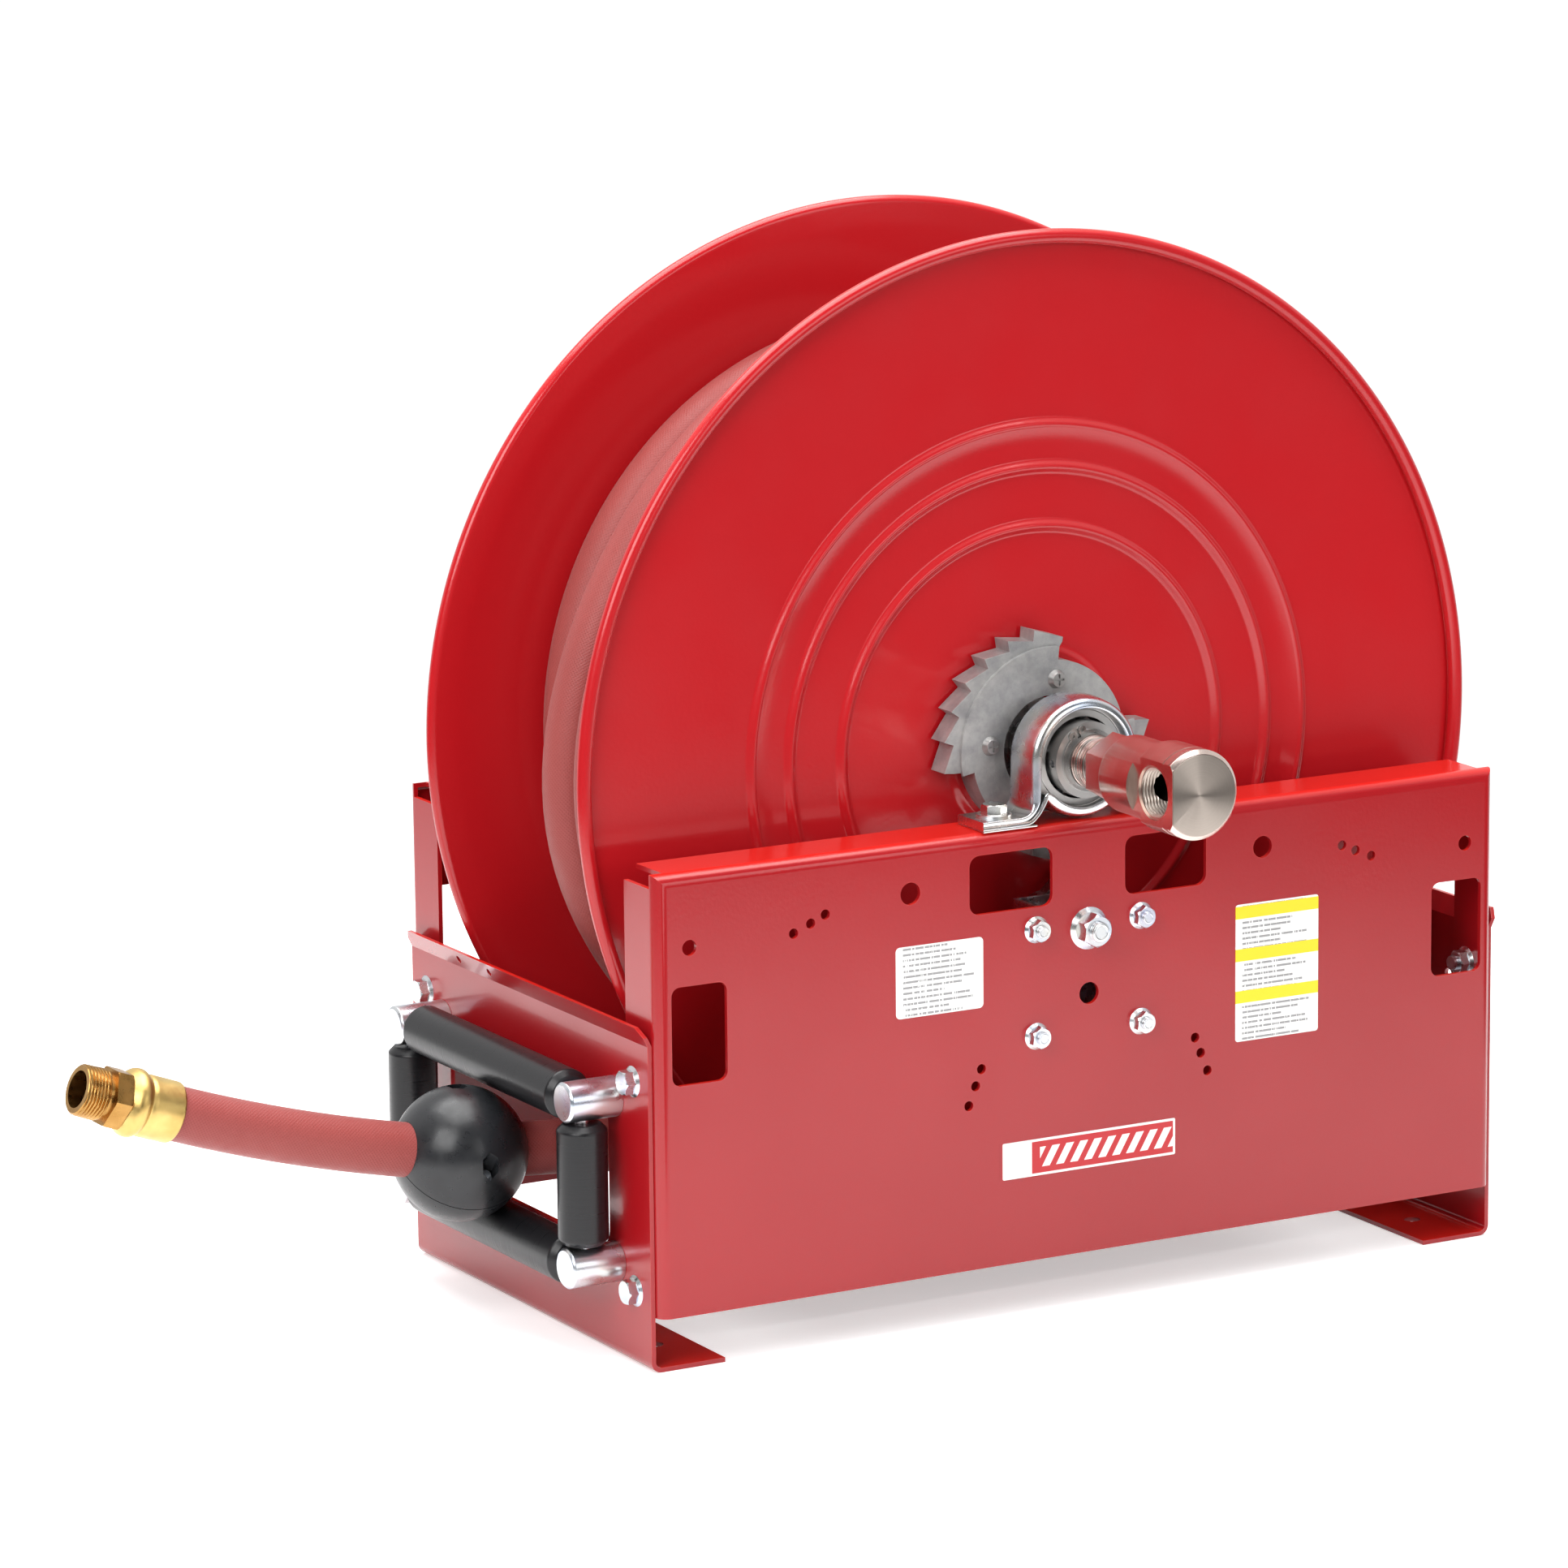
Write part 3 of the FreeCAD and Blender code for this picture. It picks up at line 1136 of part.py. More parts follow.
# --- swivel -------------------------------------------------------------------------
def swivel_stem():
    """Nipple screwed into the shaft, with a hexagon collar and a journal in the body."""
    nipple = tube_y(THREAD_R - 0.5, STEM_BORE_R, SWIVEL_NECK_Y + 14, SHAFT_THREAD_END_Y)
    ribs = [tube_y(THREAD_R + 0.6, THREAD_R - 1, SHAFT_FRONT_Y - 2.4 - 2.2 * k,
                   SHAFT_FRONT_Y - 1.2 - 2.2 * k) for k in range(8)]
    collar_y = SWIVEL_NECK_Y + 2
    collar = placed(hex_prism(40, SWIVEL_HEX_LEN), Vector(0, collar_y, AXIS_Z), Y_AXIS)
    collar = collar.cut(rod_y(STEM_BORE_R, collar_y - 1, collar_y + SWIVEL_HEX_LEN + 1))
    journal = tube_y(STEM_R, STEM_BORE_R, STEM_END_Y, SWIVEL_NECK_Y + 14)
    return union([nipple, collar, journal] + ribs)


def swivel_body():
    """Turning end block with a side port for the supply hose."""
    neck = rod_y(SWIVEL_NECK_R, SWIVEL_STEP_Y, SWIVEL_NECK_Y)
    block = rod_y(SWIVEL_R, SWIVEL_FACE_Y, SWIVEL_STEP_Y)
    rim = [e for e in block.Edges if e.Curve.TypeId == "Part::GeomCircle"
           and e.BoundBox.YMax < SWIVEL_FACE_Y + 1]
    block = block.makeChamfer(SWIVEL_CHAMFER, rim)
    body = union([neck, block])
    flat = box(-SWIVEL_R - 5, PORT_FLAT_X, SWIVEL_FACE_Y - 5, SWIVEL_STEP_Y + 9,
               AXIS_Z - 40, AXIS_Z + 40)
    port = rod(PORT_R, Vector(PORT_FLAT_X - 5, PORT_Y, AXIS_Z), Vector(0, PORT_Y, AXIS_Z))
    way = rod_y(STEM_BORE_R, PORT_Y, SWIVEL_NECK_Y + 5)
    journal = rod_y(STEM_R + 0.06, STEM_END_Y - 0.5, SWIVEL_NECK_Y + 5)
    grooves = [tube_y(SWIVEL_R + 2, SWIVEL_R - 0.5, y, y + 0.6) for y in (SWIVEL_FACE_Y + 4, SWIVEL_FACE_Y + 11)]
    seals = [tube_y(SEAL_R, STEM_R - 1, y, y + SEAL_W) for y in SEAL_YS]
    return body.cut([flat, port, way, journal] + grooves + seals)


def swivel_seals():
    return group(tube_y(SEAL_R, STEM_R + 0.06, y, y + SEAL_W) for y in SEAL_YS)


NODES = {
    "front_side_panel": front_side_panel,
    "rear_side_panel": lambda: turned_round(front_side_panel()),
    "roller_end_plate": roller_end_plate,
    "plain_end_plate": lambda: turned_round(end_plate_blank()),
    "end_plate_bolts": end_plate_bolts,
    "end_plate_nuts": end_plate_nuts,
    "rating_label": lambda: label(-142, -78.4, 206, 252, 3),
    "safety_label": lambda: label(110.5, 174, 159, 249.6, 2),
    "name_strip": lambda: label(-64.6, 64.6, 91, 115, 1),
    "bearing_housing_upper": bearing_housing_upper,
    "bearing_housing_lower": bearing_housing_lower,
    "bearing_backing_plate": bearing_backing_plate,
    "bearing_outer_ring": bearing_outer_ring,
    "bearing_shields": bearing_shields,
    "bearing_inner_ring": bearing_inner_ring,
    "bearing_balls": bearing_balls,
    "bearing_set_screw": bearing_set_screw,
    "shaft_circlip": shaft_circlip,
    "main_shaft": main_shaft,
    "outlet_pipe": outlet_pipe,
    "front_hub": front_hub,
    "front_disc": front_disc,
    "rear_disc": rear_disc,
    "drum_barrel": drum_barrel,
    "ratchet_ring": ratchet_ring,
    "ratchet_screws": ratchet_screws,
    "hose_wound": hose_wound,
    "spring_case": spring_case,
    "spring_case_cover": spring_case_cover,
    "drum_bushes": drum_bushes,
    "case_screws": case_screws,
    "power_spring": power_spring,
    "spring_arbor": spring_arbor,
    "rear_pedestal": rear_pedestal,
    "arbor_pin": arbor_pin,
    "foot_bolts": foot_bolts,
    "foot_nuts": foot_nuts,
    "pawl_bracket": pawl_bracket,
    "bracket_bolts": bracket_bolts,
    "bracket_nuts": bracket_nuts,
    "pawl_pivot_bolt": pawl_pivot_bolt,
    "pawl_pivot_nut": pawl_pivot_nut,
    "pawl": pawl,
    "pawl_spring": pawl_spring,
    "roller_posts": roller_posts,
    "post_screws": post_screws,
    "roller_axles": roller_axles,
    "upper_roller": lambda: level_roller(POST_ZS[0]),
    "lower_roller": lambda: level_roller(POST_ZS[1]),
    "front_roller": lambda: upright_roller(-POST_Y),
    "rear_roller": lambda: upright_roller(POST_Y),
    "hose_lead": hose_lead,
    "hose_ferrule": hose_ferrule,
    "hose_coupling": hose_coupling,
    "stop_ball_upper": lambda: stop_half(1),
    "stop_ball_lower": lambda: stop_half(-1),
    "stop_ball_bolts": stop_bolts,
    "swivel_stem": swivel_stem,
    "swivel_body": swivel_body,
    "swivel_seals": swivel_seals,
}

for name, make in NODES.items():
    shape = make()
    if not shape.isValid() or shape.Volume <= 0:
        print("check this node:", name, shape.isValid(), round(shape.Volume, 1))
    shape.exportStep(f"parts/{name}.step")
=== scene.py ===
import bpy
import bmesh
import json
import math
from mathutils import Matrix, Vector


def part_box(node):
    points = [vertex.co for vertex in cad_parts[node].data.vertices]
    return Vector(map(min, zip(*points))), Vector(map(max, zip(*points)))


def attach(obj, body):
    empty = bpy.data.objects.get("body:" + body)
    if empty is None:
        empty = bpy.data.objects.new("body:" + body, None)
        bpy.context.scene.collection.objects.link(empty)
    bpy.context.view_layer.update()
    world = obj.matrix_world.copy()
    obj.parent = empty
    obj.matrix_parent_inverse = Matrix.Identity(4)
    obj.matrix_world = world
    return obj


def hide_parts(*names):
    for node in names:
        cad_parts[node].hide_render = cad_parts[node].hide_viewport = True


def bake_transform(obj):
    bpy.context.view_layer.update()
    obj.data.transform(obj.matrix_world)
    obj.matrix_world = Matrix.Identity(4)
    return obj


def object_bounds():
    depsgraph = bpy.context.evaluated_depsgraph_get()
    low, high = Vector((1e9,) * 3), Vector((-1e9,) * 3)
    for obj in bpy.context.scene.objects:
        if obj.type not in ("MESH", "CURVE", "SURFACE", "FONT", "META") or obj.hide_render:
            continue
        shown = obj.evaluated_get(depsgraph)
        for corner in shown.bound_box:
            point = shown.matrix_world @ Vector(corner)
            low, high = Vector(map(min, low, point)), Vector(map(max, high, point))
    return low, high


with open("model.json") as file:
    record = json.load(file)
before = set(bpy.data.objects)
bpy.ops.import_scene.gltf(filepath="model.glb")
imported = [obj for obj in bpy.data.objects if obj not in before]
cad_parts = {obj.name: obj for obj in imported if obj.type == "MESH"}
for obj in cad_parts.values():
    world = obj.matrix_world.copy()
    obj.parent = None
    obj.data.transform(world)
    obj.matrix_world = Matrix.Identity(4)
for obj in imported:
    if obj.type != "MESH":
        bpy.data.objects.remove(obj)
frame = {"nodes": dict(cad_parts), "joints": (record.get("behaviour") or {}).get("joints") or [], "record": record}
cad_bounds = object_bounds()

# Metres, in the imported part's own frame: X along the side panels with the hose guide at -X,
# Y along the drum's shaft with the swivel at -Y, Z up.
MM = 0.001
X_AXIS = Vector((1, 0, 0))
Y_AXIS = Vector((0, 1, 0))
Z_AXIS = Vector((0, 0, 1))

# --- sizes read from the frame ------------------------------------------------------
JOINTS = {joint["name"]: joint for joint in frame["joints"]}
MOUNTS = {mount["name"]: mount for mount in frame["record"]["mounts"]}
HUB = Vector(JOINTS["drum_spin"]["pos_m"])
DISC_LOW, DISC_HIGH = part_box("front_disc")
RIM_R = (DISC_HIGH.z - DISC_LOW.z) / 2
RIM_Y = -DISC_LOW.y                        # outermost face of each rim
HOSE_LOW, HOSE_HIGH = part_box("hose_lead")
HOSE_R = (HOSE_HIGH.y - HOSE_LOW.y) / 2
HOSE_Y = (HOSE_HIGH.y + HOSE_LOW.y) / 2
COIL_LOW, COIL_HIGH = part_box("hose_wound")
COIL_R = (COIL_HIGH.z - COIL_LOW.z) / 2 - HOSE_R   # centre line of the outer layer
BALL_LOW = Vector(map(min, zip(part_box("stop_ball_upper")[0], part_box("stop_ball_lower")[0])))
BALL_HIGH = Vector(map(max, zip(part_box("stop_ball_upper")[1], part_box("stop_ball_lower")[1])))
BALL_CENTRE = (BALL_LOW + BALL_HIGH) / 2


# --- mesh helpers -------------------------------------------------------------------
def dress(obj, material, body=None, stands_for=()):
    """Gives a piece its material and its body, and hides the CAD nodes it replaces."""
    obj.data.materials.clear()
    obj.data.materials.append(material)
    if body:
        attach(obj, body)
    if stands_for:
        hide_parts(*stands_for)


def solid(name, verts, faces, uvs=None):
    """A closed smooth mesh with its normals pointing out."""
    mesh = bpy.data.meshes.new(name)
    mesh.from_pydata([tuple(v) for v in verts], [], faces)
    if uvs:
        layer = mesh.uv_layers.new(name="UVMap")
        for loop, uv in zip(layer.data, uvs):
            loop.uv = uv
    work = bmesh.new()
    work.from_mesh(mesh)
    bmesh.ops.remove_doubles(work, verts=work.verts, dist=1e-6)
    bmesh.ops.recalc_face_normals(work, faces=work.faces)
    work.to_mesh(mesh)
    work.free()
    mesh.shade_smooth()
    obj = bpy.data.objects.new(name, mesh)
    bpy.context.scene.collection.objects.link(obj)
    return obj


def weigh_normals(obj):
    """Keeps large faces flat next to small rounded edges."""
    weighted = obj.modifiers.new("weighted", "WEIGHTED_NORMAL")
    weighted.keep_sharp = True
    return obj


def rounded(corners, closed=True, steps=4):
    """Turns (radius, height, ease) corners into a profile whose corners are eased."""
    profile = []
    for i, (r, h, ease) in enumerate(corners):
        here = Vector((r, h))
        at_end = not closed and i in (0, len(corners) - 1)
        if ease == 0 or at_end:
            profile.append((r, h))
            continue
        before = Vector(corners[i - 1][:2])
        after = Vector(corners[(i + 1) % len(corners)][:2])
        start = here + (before - here).normalized() * ease
        end = here + (after - here).normalized() * ease
        for k in range(steps + 1):
            t = k / steps
            point = start * (1 - t) ** 2 + here * (2 * t * (1 - t)) + end * t ** 2
            profile.append((point.x, point.y))
    return profile


def ring_faces(steps, count):
    """Faces between neighbouring rings of a turned shape, count points to a ring."""
    faces = []
    for i in range(steps):
        ring, following = i * count, (i + 1) % steps * count
        for k in range(count):
            after = (k + 1) % count
            faces.append((ring + k, following + k, following + after, ring + after))
    return faces


def lathe(name, profile, origin, axis, steps):
    """Turns a profile of (radius, height) about an axis."""
    turn = Z_AXIS.rotation_difference(Vector(axis)).to_matrix()
    verts = []
    for i in range(steps):
        angle = 2 * math.pi * i / steps
        for r, h in profile:
            verts.append(origin + turn @ Vector((r * math.cos(angle), r * math.sin(angle), h)))
    return weigh_normals(solid(name, verts, ring_faces(steps, len(profile))))


def tube(name, path, radius):
    """A round bar along a list of points that lie close to a plane across Y."""
    sides = 48
    verts, faces, uvs, runs = [], [], [], [0.0]
    for before, here in zip(path, path[1:]):
        runs.append(runs[-1] + (here - before).length)
    for i, point in enumerate(path):
        ahead = (path[min(i + 1, len(path) - 1)] - path[max(i - 1, 0)]).normalized()
        side = (Y_AXIS - ahead * Y_AXIS.dot(ahead)).normalized()
        lift = ahead.cross(side)
        for j in range(sides):
            angle = 2 * math.pi * j / sides
            verts.append(point + (side * math.cos(angle) + lift * math.sin(angle)) * radius)
    around = 2 * math.pi * radius
    for i in range(len(path) - 1):
        for j in range(sides):
            after = (j + 1) % sides
            faces.append((i * sides + j, i * sides + after,
                          (i + 1) * sides + after, (i + 1) * sides + j))
            for step_u, step_v in ((0, 0), (1, 0), (1, 1), (0, 1)):
                uvs.append(((j + step_u) / sides, runs[i + step_v] / around))
    for first in (0, (len(path) - 1) * sides):
        faces.append(tuple(first + j for j in range(sides)))
        uvs += [(0, 0)] * sides
    return solid(name, verts, faces, uvs)


def thread(name, origin, axis, radius, length, pitch, taper, inner):
    """A sleeve with a rounded helical thread; inner is its plain wall as a share of radius."""
    turn = Z_AXIS.rotation_difference(Vector(axis)).to_matrix()
    depth = 0.55 * pitch
    steps = 72
    rows = int(length / pitch * 10)
    verts = []
    for i in range(steps):
        angle = 2 * math.pi * i / steps
        out = Vector((math.cos(angle), math.sin(angle), 0))
        ring = [out * radius * inner]
        for k in range(rows + 1):
            h = length * k / rows
            phase = (h / pitch - i / steps) % 1
            crest = 1 - abs(2 * phase - 1)
            fade = min(1, h / pitch * 2, (length - h) / pitch * 2)
            r = radius - taper * h - depth * (1 - min(1, crest * 1.35) * fade)
            ring.append(out * r + Z_AXIS * h)
        ring.append(out * radius * inner + Z_AXIS * length)
        verts += [origin + turn @ v for v in ring]
    return solid(name, verts, ring_faces(steps, rows + 3))


def join(name, objects):
    """Makes one piece of several meshes."""
    work = bmesh.new()
    for obj in objects:
        work.from_mesh(obj.data)
        bpy.data.objects.remove(obj)
    mesh = bpy.data.meshes.new(name)
    work.to_mesh(mesh)
    work.free()
    mesh.shade_smooth()
    piece = bpy.data.objects.new(name, mesh)
    bpy.context.scene.collection.objects.link(piece)
    return piece


def lumps(node):
    """Boxes of a CAD node's separate solids, as (low, high) corners."""
    mesh = frame["nodes"][node].data
    keys = [tuple(round(c, 6) for c in v.co) for v in mesh.vertices]
    parent = {key: key for key in keys}

    def find(key):
        while parent[key] != key:
            parent[key] = parent[parent[key]]
            key = parent[key]
        return key

    for edge in mesh.edges:
        parent[find(keys[edge.vertices[0]])] = find(keys[edge.vertices[1]])
    groups = {}
    for key in set(keys):
        groups.setdefault(find(key), []).append(key)
    boxes = []
    for points in groups.values():
        low = Vector(min(p[i] for p in points) for i in range(3))
        high = Vector(max(p[i] for p in points) for i in range(3))
        boxes.append((low, high))
    return sorted(boxes, key=lambda b: tuple(b[0]))


def soften(node, width):
    """Rounds a CAD node's sharp edges without touching its own mesh."""
    obj = frame["nodes"][node]
    weld = obj.modifiers.new("weld", "WELD")
    weld.merge_threshold = 1e-6
    flat = obj.modifiers.new("flat", "DECIMATE")
    flat.decimate_type = "DISSOLVE"
    flat.angle_limit = math.radians(0.3)
    bevel = obj.modifiers.new("bevel", "BEVEL")
    bevel.width = width
    bevel.segments = 2
    bevel.limit_method = "ANGLE"
    bevel.angle_limit = math.radians(30)
    bevel.harden_normals = False
    bevel.use_clamp_overlap = True
    return weigh_normals(obj)


# --- shader helpers -----------------------------------------------------------------
class Shader:
    """A material's node tree with short calls to add and link nodes."""

    def __init__(self, name):
        self.material = bpy.data.materials.new(name)
        self.material.use_nodes = True
        self.tree = self.material.node_tree
        self.tree.nodes.clear()
        out = self.tree.nodes.new("ShaderNodeOutputMaterial")
        self.bsdf = self.tree.nodes.new("ShaderNodeBsdfPrincipled")
        self.tree.links.new(self.bsdf.outputs["BSDF"], out.inputs["Surface"])
        self.place = self.tree.nodes.new("ShaderNodeTexCoord").outputs["Object"]
        self.normal = None

    def feed(self, socket, value):
        if isinstance(value, bpy.types.NodeSocket):
            self.tree.links.new(value, socket)
        else:
            socket.default_value = value

    def set(self, **values):
        for name, value in values.items():
            self.feed(self.bsdf.inputs[name.replace("_", " ")], value)

    def math(self, operation, a, b=0.0, c=0.0):
        node = self.tree.nodes.new("ShaderNodeMath")
        node.operation = operation
        for socket, value in zip(node.inputs, (a, b, c)):
            self.feed(socket, value)
        return node.outputs[0]

    def stretch(self, sx, sy, sz):
        """Object coordinates scaled along each axis."""
        node = self.tree.nodes.new("ShaderNodeMapping")
        self.feed(node.inputs["Vector"], self.place)
        node.inputs["Scale"].default_value = (sx, sy, sz)
        return node.outputs[0]

    def noise(self, scale, detail=2.0, roughness=0.5, place=None):
        node = self.tree.nodes.new("ShaderNodeTexNoise")
        self.feed(node.inputs["Vector"], place or self.place)
        node.inputs["Scale"].default_value = scale
        node.inputs["Detail"].default_value = detail
        node.inputs["Roughness"].default_value = roughness
        return node.outputs["Fac"]

    def spread(self, value, low, high, from_low=0.3, from_high=0.7):
        """Remaps a value, by default the middle of a noise, to a range."""
        node = self.tree.nodes.new("ShaderNodeMapRange")
        self.feed(node.inputs["Value"], value)
        for name, number in (("From Min", from_low), ("From Max", from_high),
                             ("To Min", low), ("To Max", high)):
            node.inputs[name].default_value = number
        return node.outputs["Result"]

    def mix(self, share, a, b):
        node = self.tree.nodes.new("ShaderNodeMix")
        node.data_type = "RGBA"
        self.feed(node.inputs["Factor"], share)
        self.feed(node.inputs["A"], a)
        self.feed(node.inputs["B"], b)
        return node.outputs["Result"]

    def bump(self, height, distance, strength=1.0):
        """Adds a bump on top of those already there."""
        node = self.tree.nodes.new("ShaderNodeBump")
        self.feed(node.inputs["Height"], height)
        node.inputs["Distance"].default_value = distance
        node.inputs["Strength"].default_value = strength
        if self.normal:
            self.feed(node.inputs["Normal"], self.normal)
        self.normal = node.outputs["Normal"]
        self.feed(self.bsdf.inputs["Normal"], self.normal)

    def axis(self, name):
        node = self.tree.nodes.new("ShaderNodeSeparateXYZ")
        self.feed(node.inputs[0], self.place)
        return node.outputs[name]

    def vector(self, operation, a, b=(0, 0, 0)):
        """A vector sum, product or length."""
        node = self.tree.nodes.new("ShaderNodeVectorMath")
        node.operation = operation
        self.feed(node.inputs[0], a)
        self.feed(node.inputs[1], b)
        return node.outputs["Value" if operation in ("LENGTH", "DOT_PRODUCT") else "Vector"]

    def around(self):
        """The direction round the drum's axis, for turned surfaces."""
        away = self.vector("SUBTRACT", self.place, HUB)
        world = self.tree.nodes.new("ShaderNodeVectorTransform")
        world.vector_type = "VECTOR"
        world.convert_from, world.convert_to = "OBJECT", "WORLD"
        self.feed(world.inputs[0], self.vector("CROSS_PRODUCT", Y_AXIS, away))
        return self.vector("NORMALIZE", world.outputs[0])

    def from_shaft(self):
        """Distance from the drum's axis."""
        away = self.vector("SUBTRACT", self.place, HUB)
        return self.vector("LENGTH", self.vector("MULTIPLY", away, (1, 0, 1)))

    def near(self, value, middle, half):
        """1 where a value is within half of the middle."""
        return self.math("LESS_THAN", self.math("ABSOLUTE", self.math("SUBTRACT", value, middle)),
                         half)

    def upward(self):
        """1 on faces that look straight up and 0 on steep ones."""
        geometry = self.tree.nodes.new("ShaderNodeNewGeometry")
        split = self.tree.nodes.new("ShaderNodeSeparateXYZ")
        self.feed(split.inputs[0], geometry.outputs["Normal"])
        return self.spread(split.outputs["Z"], 0.0, 1.0, 0.55, 0.98)

    def edges(self, radius):
        """1 on edges and 0 on flats, from how far a rounded normal leans."""
        bevel = self.tree.nodes.new("ShaderNodeBevel")
        bevel.samples = 4
        bevel.inputs["Radius"].default_value = radius
        geometry = self.tree.nodes.new("ShaderNodeNewGeometry")
        dot = self.vector("DOT_PRODUCT", bevel.outputs["Normal"], geometry.outputs["Normal"])
        return self.spread(dot, 1.0, 0.0, 0.8, 1.0)


def colour(red, green, blue):
    """An sRGB colour from 0 to 255 as the linear colour Blender wants."""
    linear = [(c / 255 / 12.92) if c <= 10 else ((c / 255 + 0.055) / 1.055) ** 2.4
              for c in (red, green, blue)]
    return (*linear, 1.0)


# --- materials ----------------------------------------------------------------------
def paint(name, base, deep):
    """Gloss powder coat: even red, a painted top light that tints upward faces orange, slight orange peel, and
    lighter edges that are partly thin paint and partly a painted highlight.
    """
    s = Shader(name)
    cloud = s.spread(s.noise(3.5, 3), 0.0, 1.0)
    body = s.mix(cloud, base, deep)
    # painted top light: faces that look up are mixed towards a lighter orange red
    body = s.mix(s.math("MULTIPLY", s.upward(), 0.85), body, colour(214, 36, 26))
    # lighter orange on the edges: partly thin paint, partly a painted edge highlight
    thin_paint_and_highlight = s.math("MULTIPLY", s.edges(0.0012), s.spread(s.noise(60, 3), 0.0, 0.35))
    s.set(Base_Color=s.mix(thin_paint_and_highlight, body, colour(222, 74, 52)))
    s.set(Roughness=s.spread(s.noise(14, 3), 0.2, 0.27), Specular_IOR_Level=0.4)
    s.set(Coat_Weight=0.3, Coat_Roughness=0.08, Coat_IOR=1.5)
    s.bump(s.noise(420, 1), 0.00012, 0.5)
    s.bump(s.noise(26, 1), 0.002, 0.05)
    return s.material


def zinc_plate(name, rough):
    """Bright zinc with faint blue, straw and pink passivation tints."""
    s = Shader(name)
    tint = s.mix(s.spread(s.noise(38, 2), 0, 1), colour(198, 208, 224), colour(226, 224, 216))
    pink = s.spread(s.noise(31, 3), 0.0, 0.5, 0.5, 0.75)
    s.set(Base_Color=s.mix(pink, tint, colour(216, 196, 208)), Metallic=1.0)
    s.set(Roughness=s.spread(s.noise(60, 3), rough - 0.04, rough + 0.06))
    s.bump(s.noise(400, 2), 0.00001, 0.5)
    s.bump(s.noise(60, 1), 0.0002, 0.06)
    return s.material


def cast_metal(name, light, dark, rough):
    """Mottled casting with a fine grain."""
    s = Shader(name)
    mottle = s.spread(s.noise(70, 5, 0.65), 0, 1)
    s.set(Base_Color=s.mix(mottle, light, dark), Metallic=0.55)
    s.set(Roughness=s.spread(s.noise(180, 4), rough - 0.08, rough + 0.12))
    s.bump(s.noise(650, 4, 0.7), 0.0002, 0.8)
    s.bump(s.noise(120, 2), 0.0003, 0.4)
    return s.material


def turned_metal(name, base, dark, rough, axis_scale, grain=0.00005):
    """Machined metal with fine rings across the axis that axis_scale stretches."""
    s = Shader(name)
    rings = s.noise(1.0, 4, 0.7, s.stretch(*axis_scale))
    s.set(Base_Color=s.mix(s.spread(rings, 0, 0.6), base, dark), Metallic=1.0)
    s.set(Roughness=s.spread(s.noise(90, 3), rough - 0.05, rough + 0.08))
    s.bump(rings, grain, 0.8)
    return s.material


SHADED_BORE_R = 10.5 * MM                         # painted shade: plated parts are coloured dark and not metallic inside this radius


def turned_nickel(name):
    """Bright plate over turning marks that run round the drum's axis, with painted shade in the bore."""
    s = Shader(name)
    rings = s.noise(1.0, 4, 0.7, s.stretch(20, 1400, 20))
    stain = s.spread(s.noise(60, 4), 0, 1)
    plate = s.mix(stain, colour(232, 214, 205), colour(212, 190, 180))
    # painted shade: inside the bore the plate gives way to a dark, non-metallic colour
    bore = s.math("LESS_THAN", s.from_shaft(), SHADED_BORE_R)
    s.set(Base_Color=s.mix(bore, plate, colour(30, 24, 22)))
    s.set(Metallic=s.math("SUBTRACT", 1.0, bore), Roughness=s.spread(rings, 0.2, 0.26))
    s.set(Anisotropic=0.6, Anisotropic_Rotation=0.25, Tangent=s.around())
    s.bump(rings, 0.00002, 0.6)
    return s.material


CORDS = 46.0                               # cords of the cloth mark round the hose


def rubber_hose(name):
    """Matte hose cover with a fine cloth mark wound both ways."""
    s = Shader(name)
    uv = s.tree.nodes.new("ShaderNodeUVMap").outputs[0]
    waves = []
    split = s.tree.nodes.new("ShaderNodeSeparateXYZ")
    s.feed(split.inputs[0], uv)
    for lean in (1, -1):
        along = s.math("MULTIPLY", split.outputs["Y"], CORDS)
        across = s.math("MULTIPLY", split.outputs["X"], CORDS * lean)
        turn = s.math("MULTIPLY", s.math("ADD", along, across), 2 * math.pi)
        waves.append(s.math("SINE", turn))
    cloth = s.math("ADD", s.math("MULTIPLY", s.math("MAXIMUM", *waves), 0.5), 0.5)
    patches = s.spread(s.noise(9, 4), 0, 1)
    base = s.mix(patches, colour(147, 64, 61), colour(136, 57, 55))
    dusty = s.math("MULTIPLY", cloth, 0.2)
    s.set(Base_Color=s.mix(dusty, base, colour(180, 98, 92)))
    s.set(Roughness=s.spread(s.noise(120, 3), 0.4, 0.54), Specular_IOR_Level=0.36)
    s.set(Sheen_Weight=0.08, Sheen_Roughness=0.4)
    s.bump(cloth, 0.00025, 0.5)
    s.bump(s.noise(900, 3), 0.0001, 0.5)
    return s.material


def moulded_rubber(name):
    s = Shader(name)
    bloom = s.spread(s.noise(40, 5, 0.6), 0, 1)
    s.set(Base_Color=s.mix(bloom, colour(24, 25, 27), colour(36, 37, 40)))
    s.set(Roughness=s.spread(s.noise(150, 4), 0.25, 0.36), Specular_IOR_Level=0.5)
    s.bump(s.noise(420, 4, 0.65), 0.00006, 0.3)
    s.bump(s.noise(30, 3), 0.0008, 0.12)
    return s.material


def turned_plastic(name, axis_scale):
    """Dark roller plastic with tool marks round it."""
    s = Shader(name)
    rings = s.noise(1.0, 3, 0.7, s.stretch(*axis_scale))
    s.set(Base_Color=s.mix(s.spread(rings, 0, 1), colour(15, 15, 17), colour(26, 25, 28)))
    s.set(Roughness=s.spread(rings, 0.26, 0.38), Specular_IOR_Level=0.4)
    s.bump(rings, 0.00003, 0.5)
    s.bump(s.noise(300, 3), 0.00004, 0.2)
    return s.material


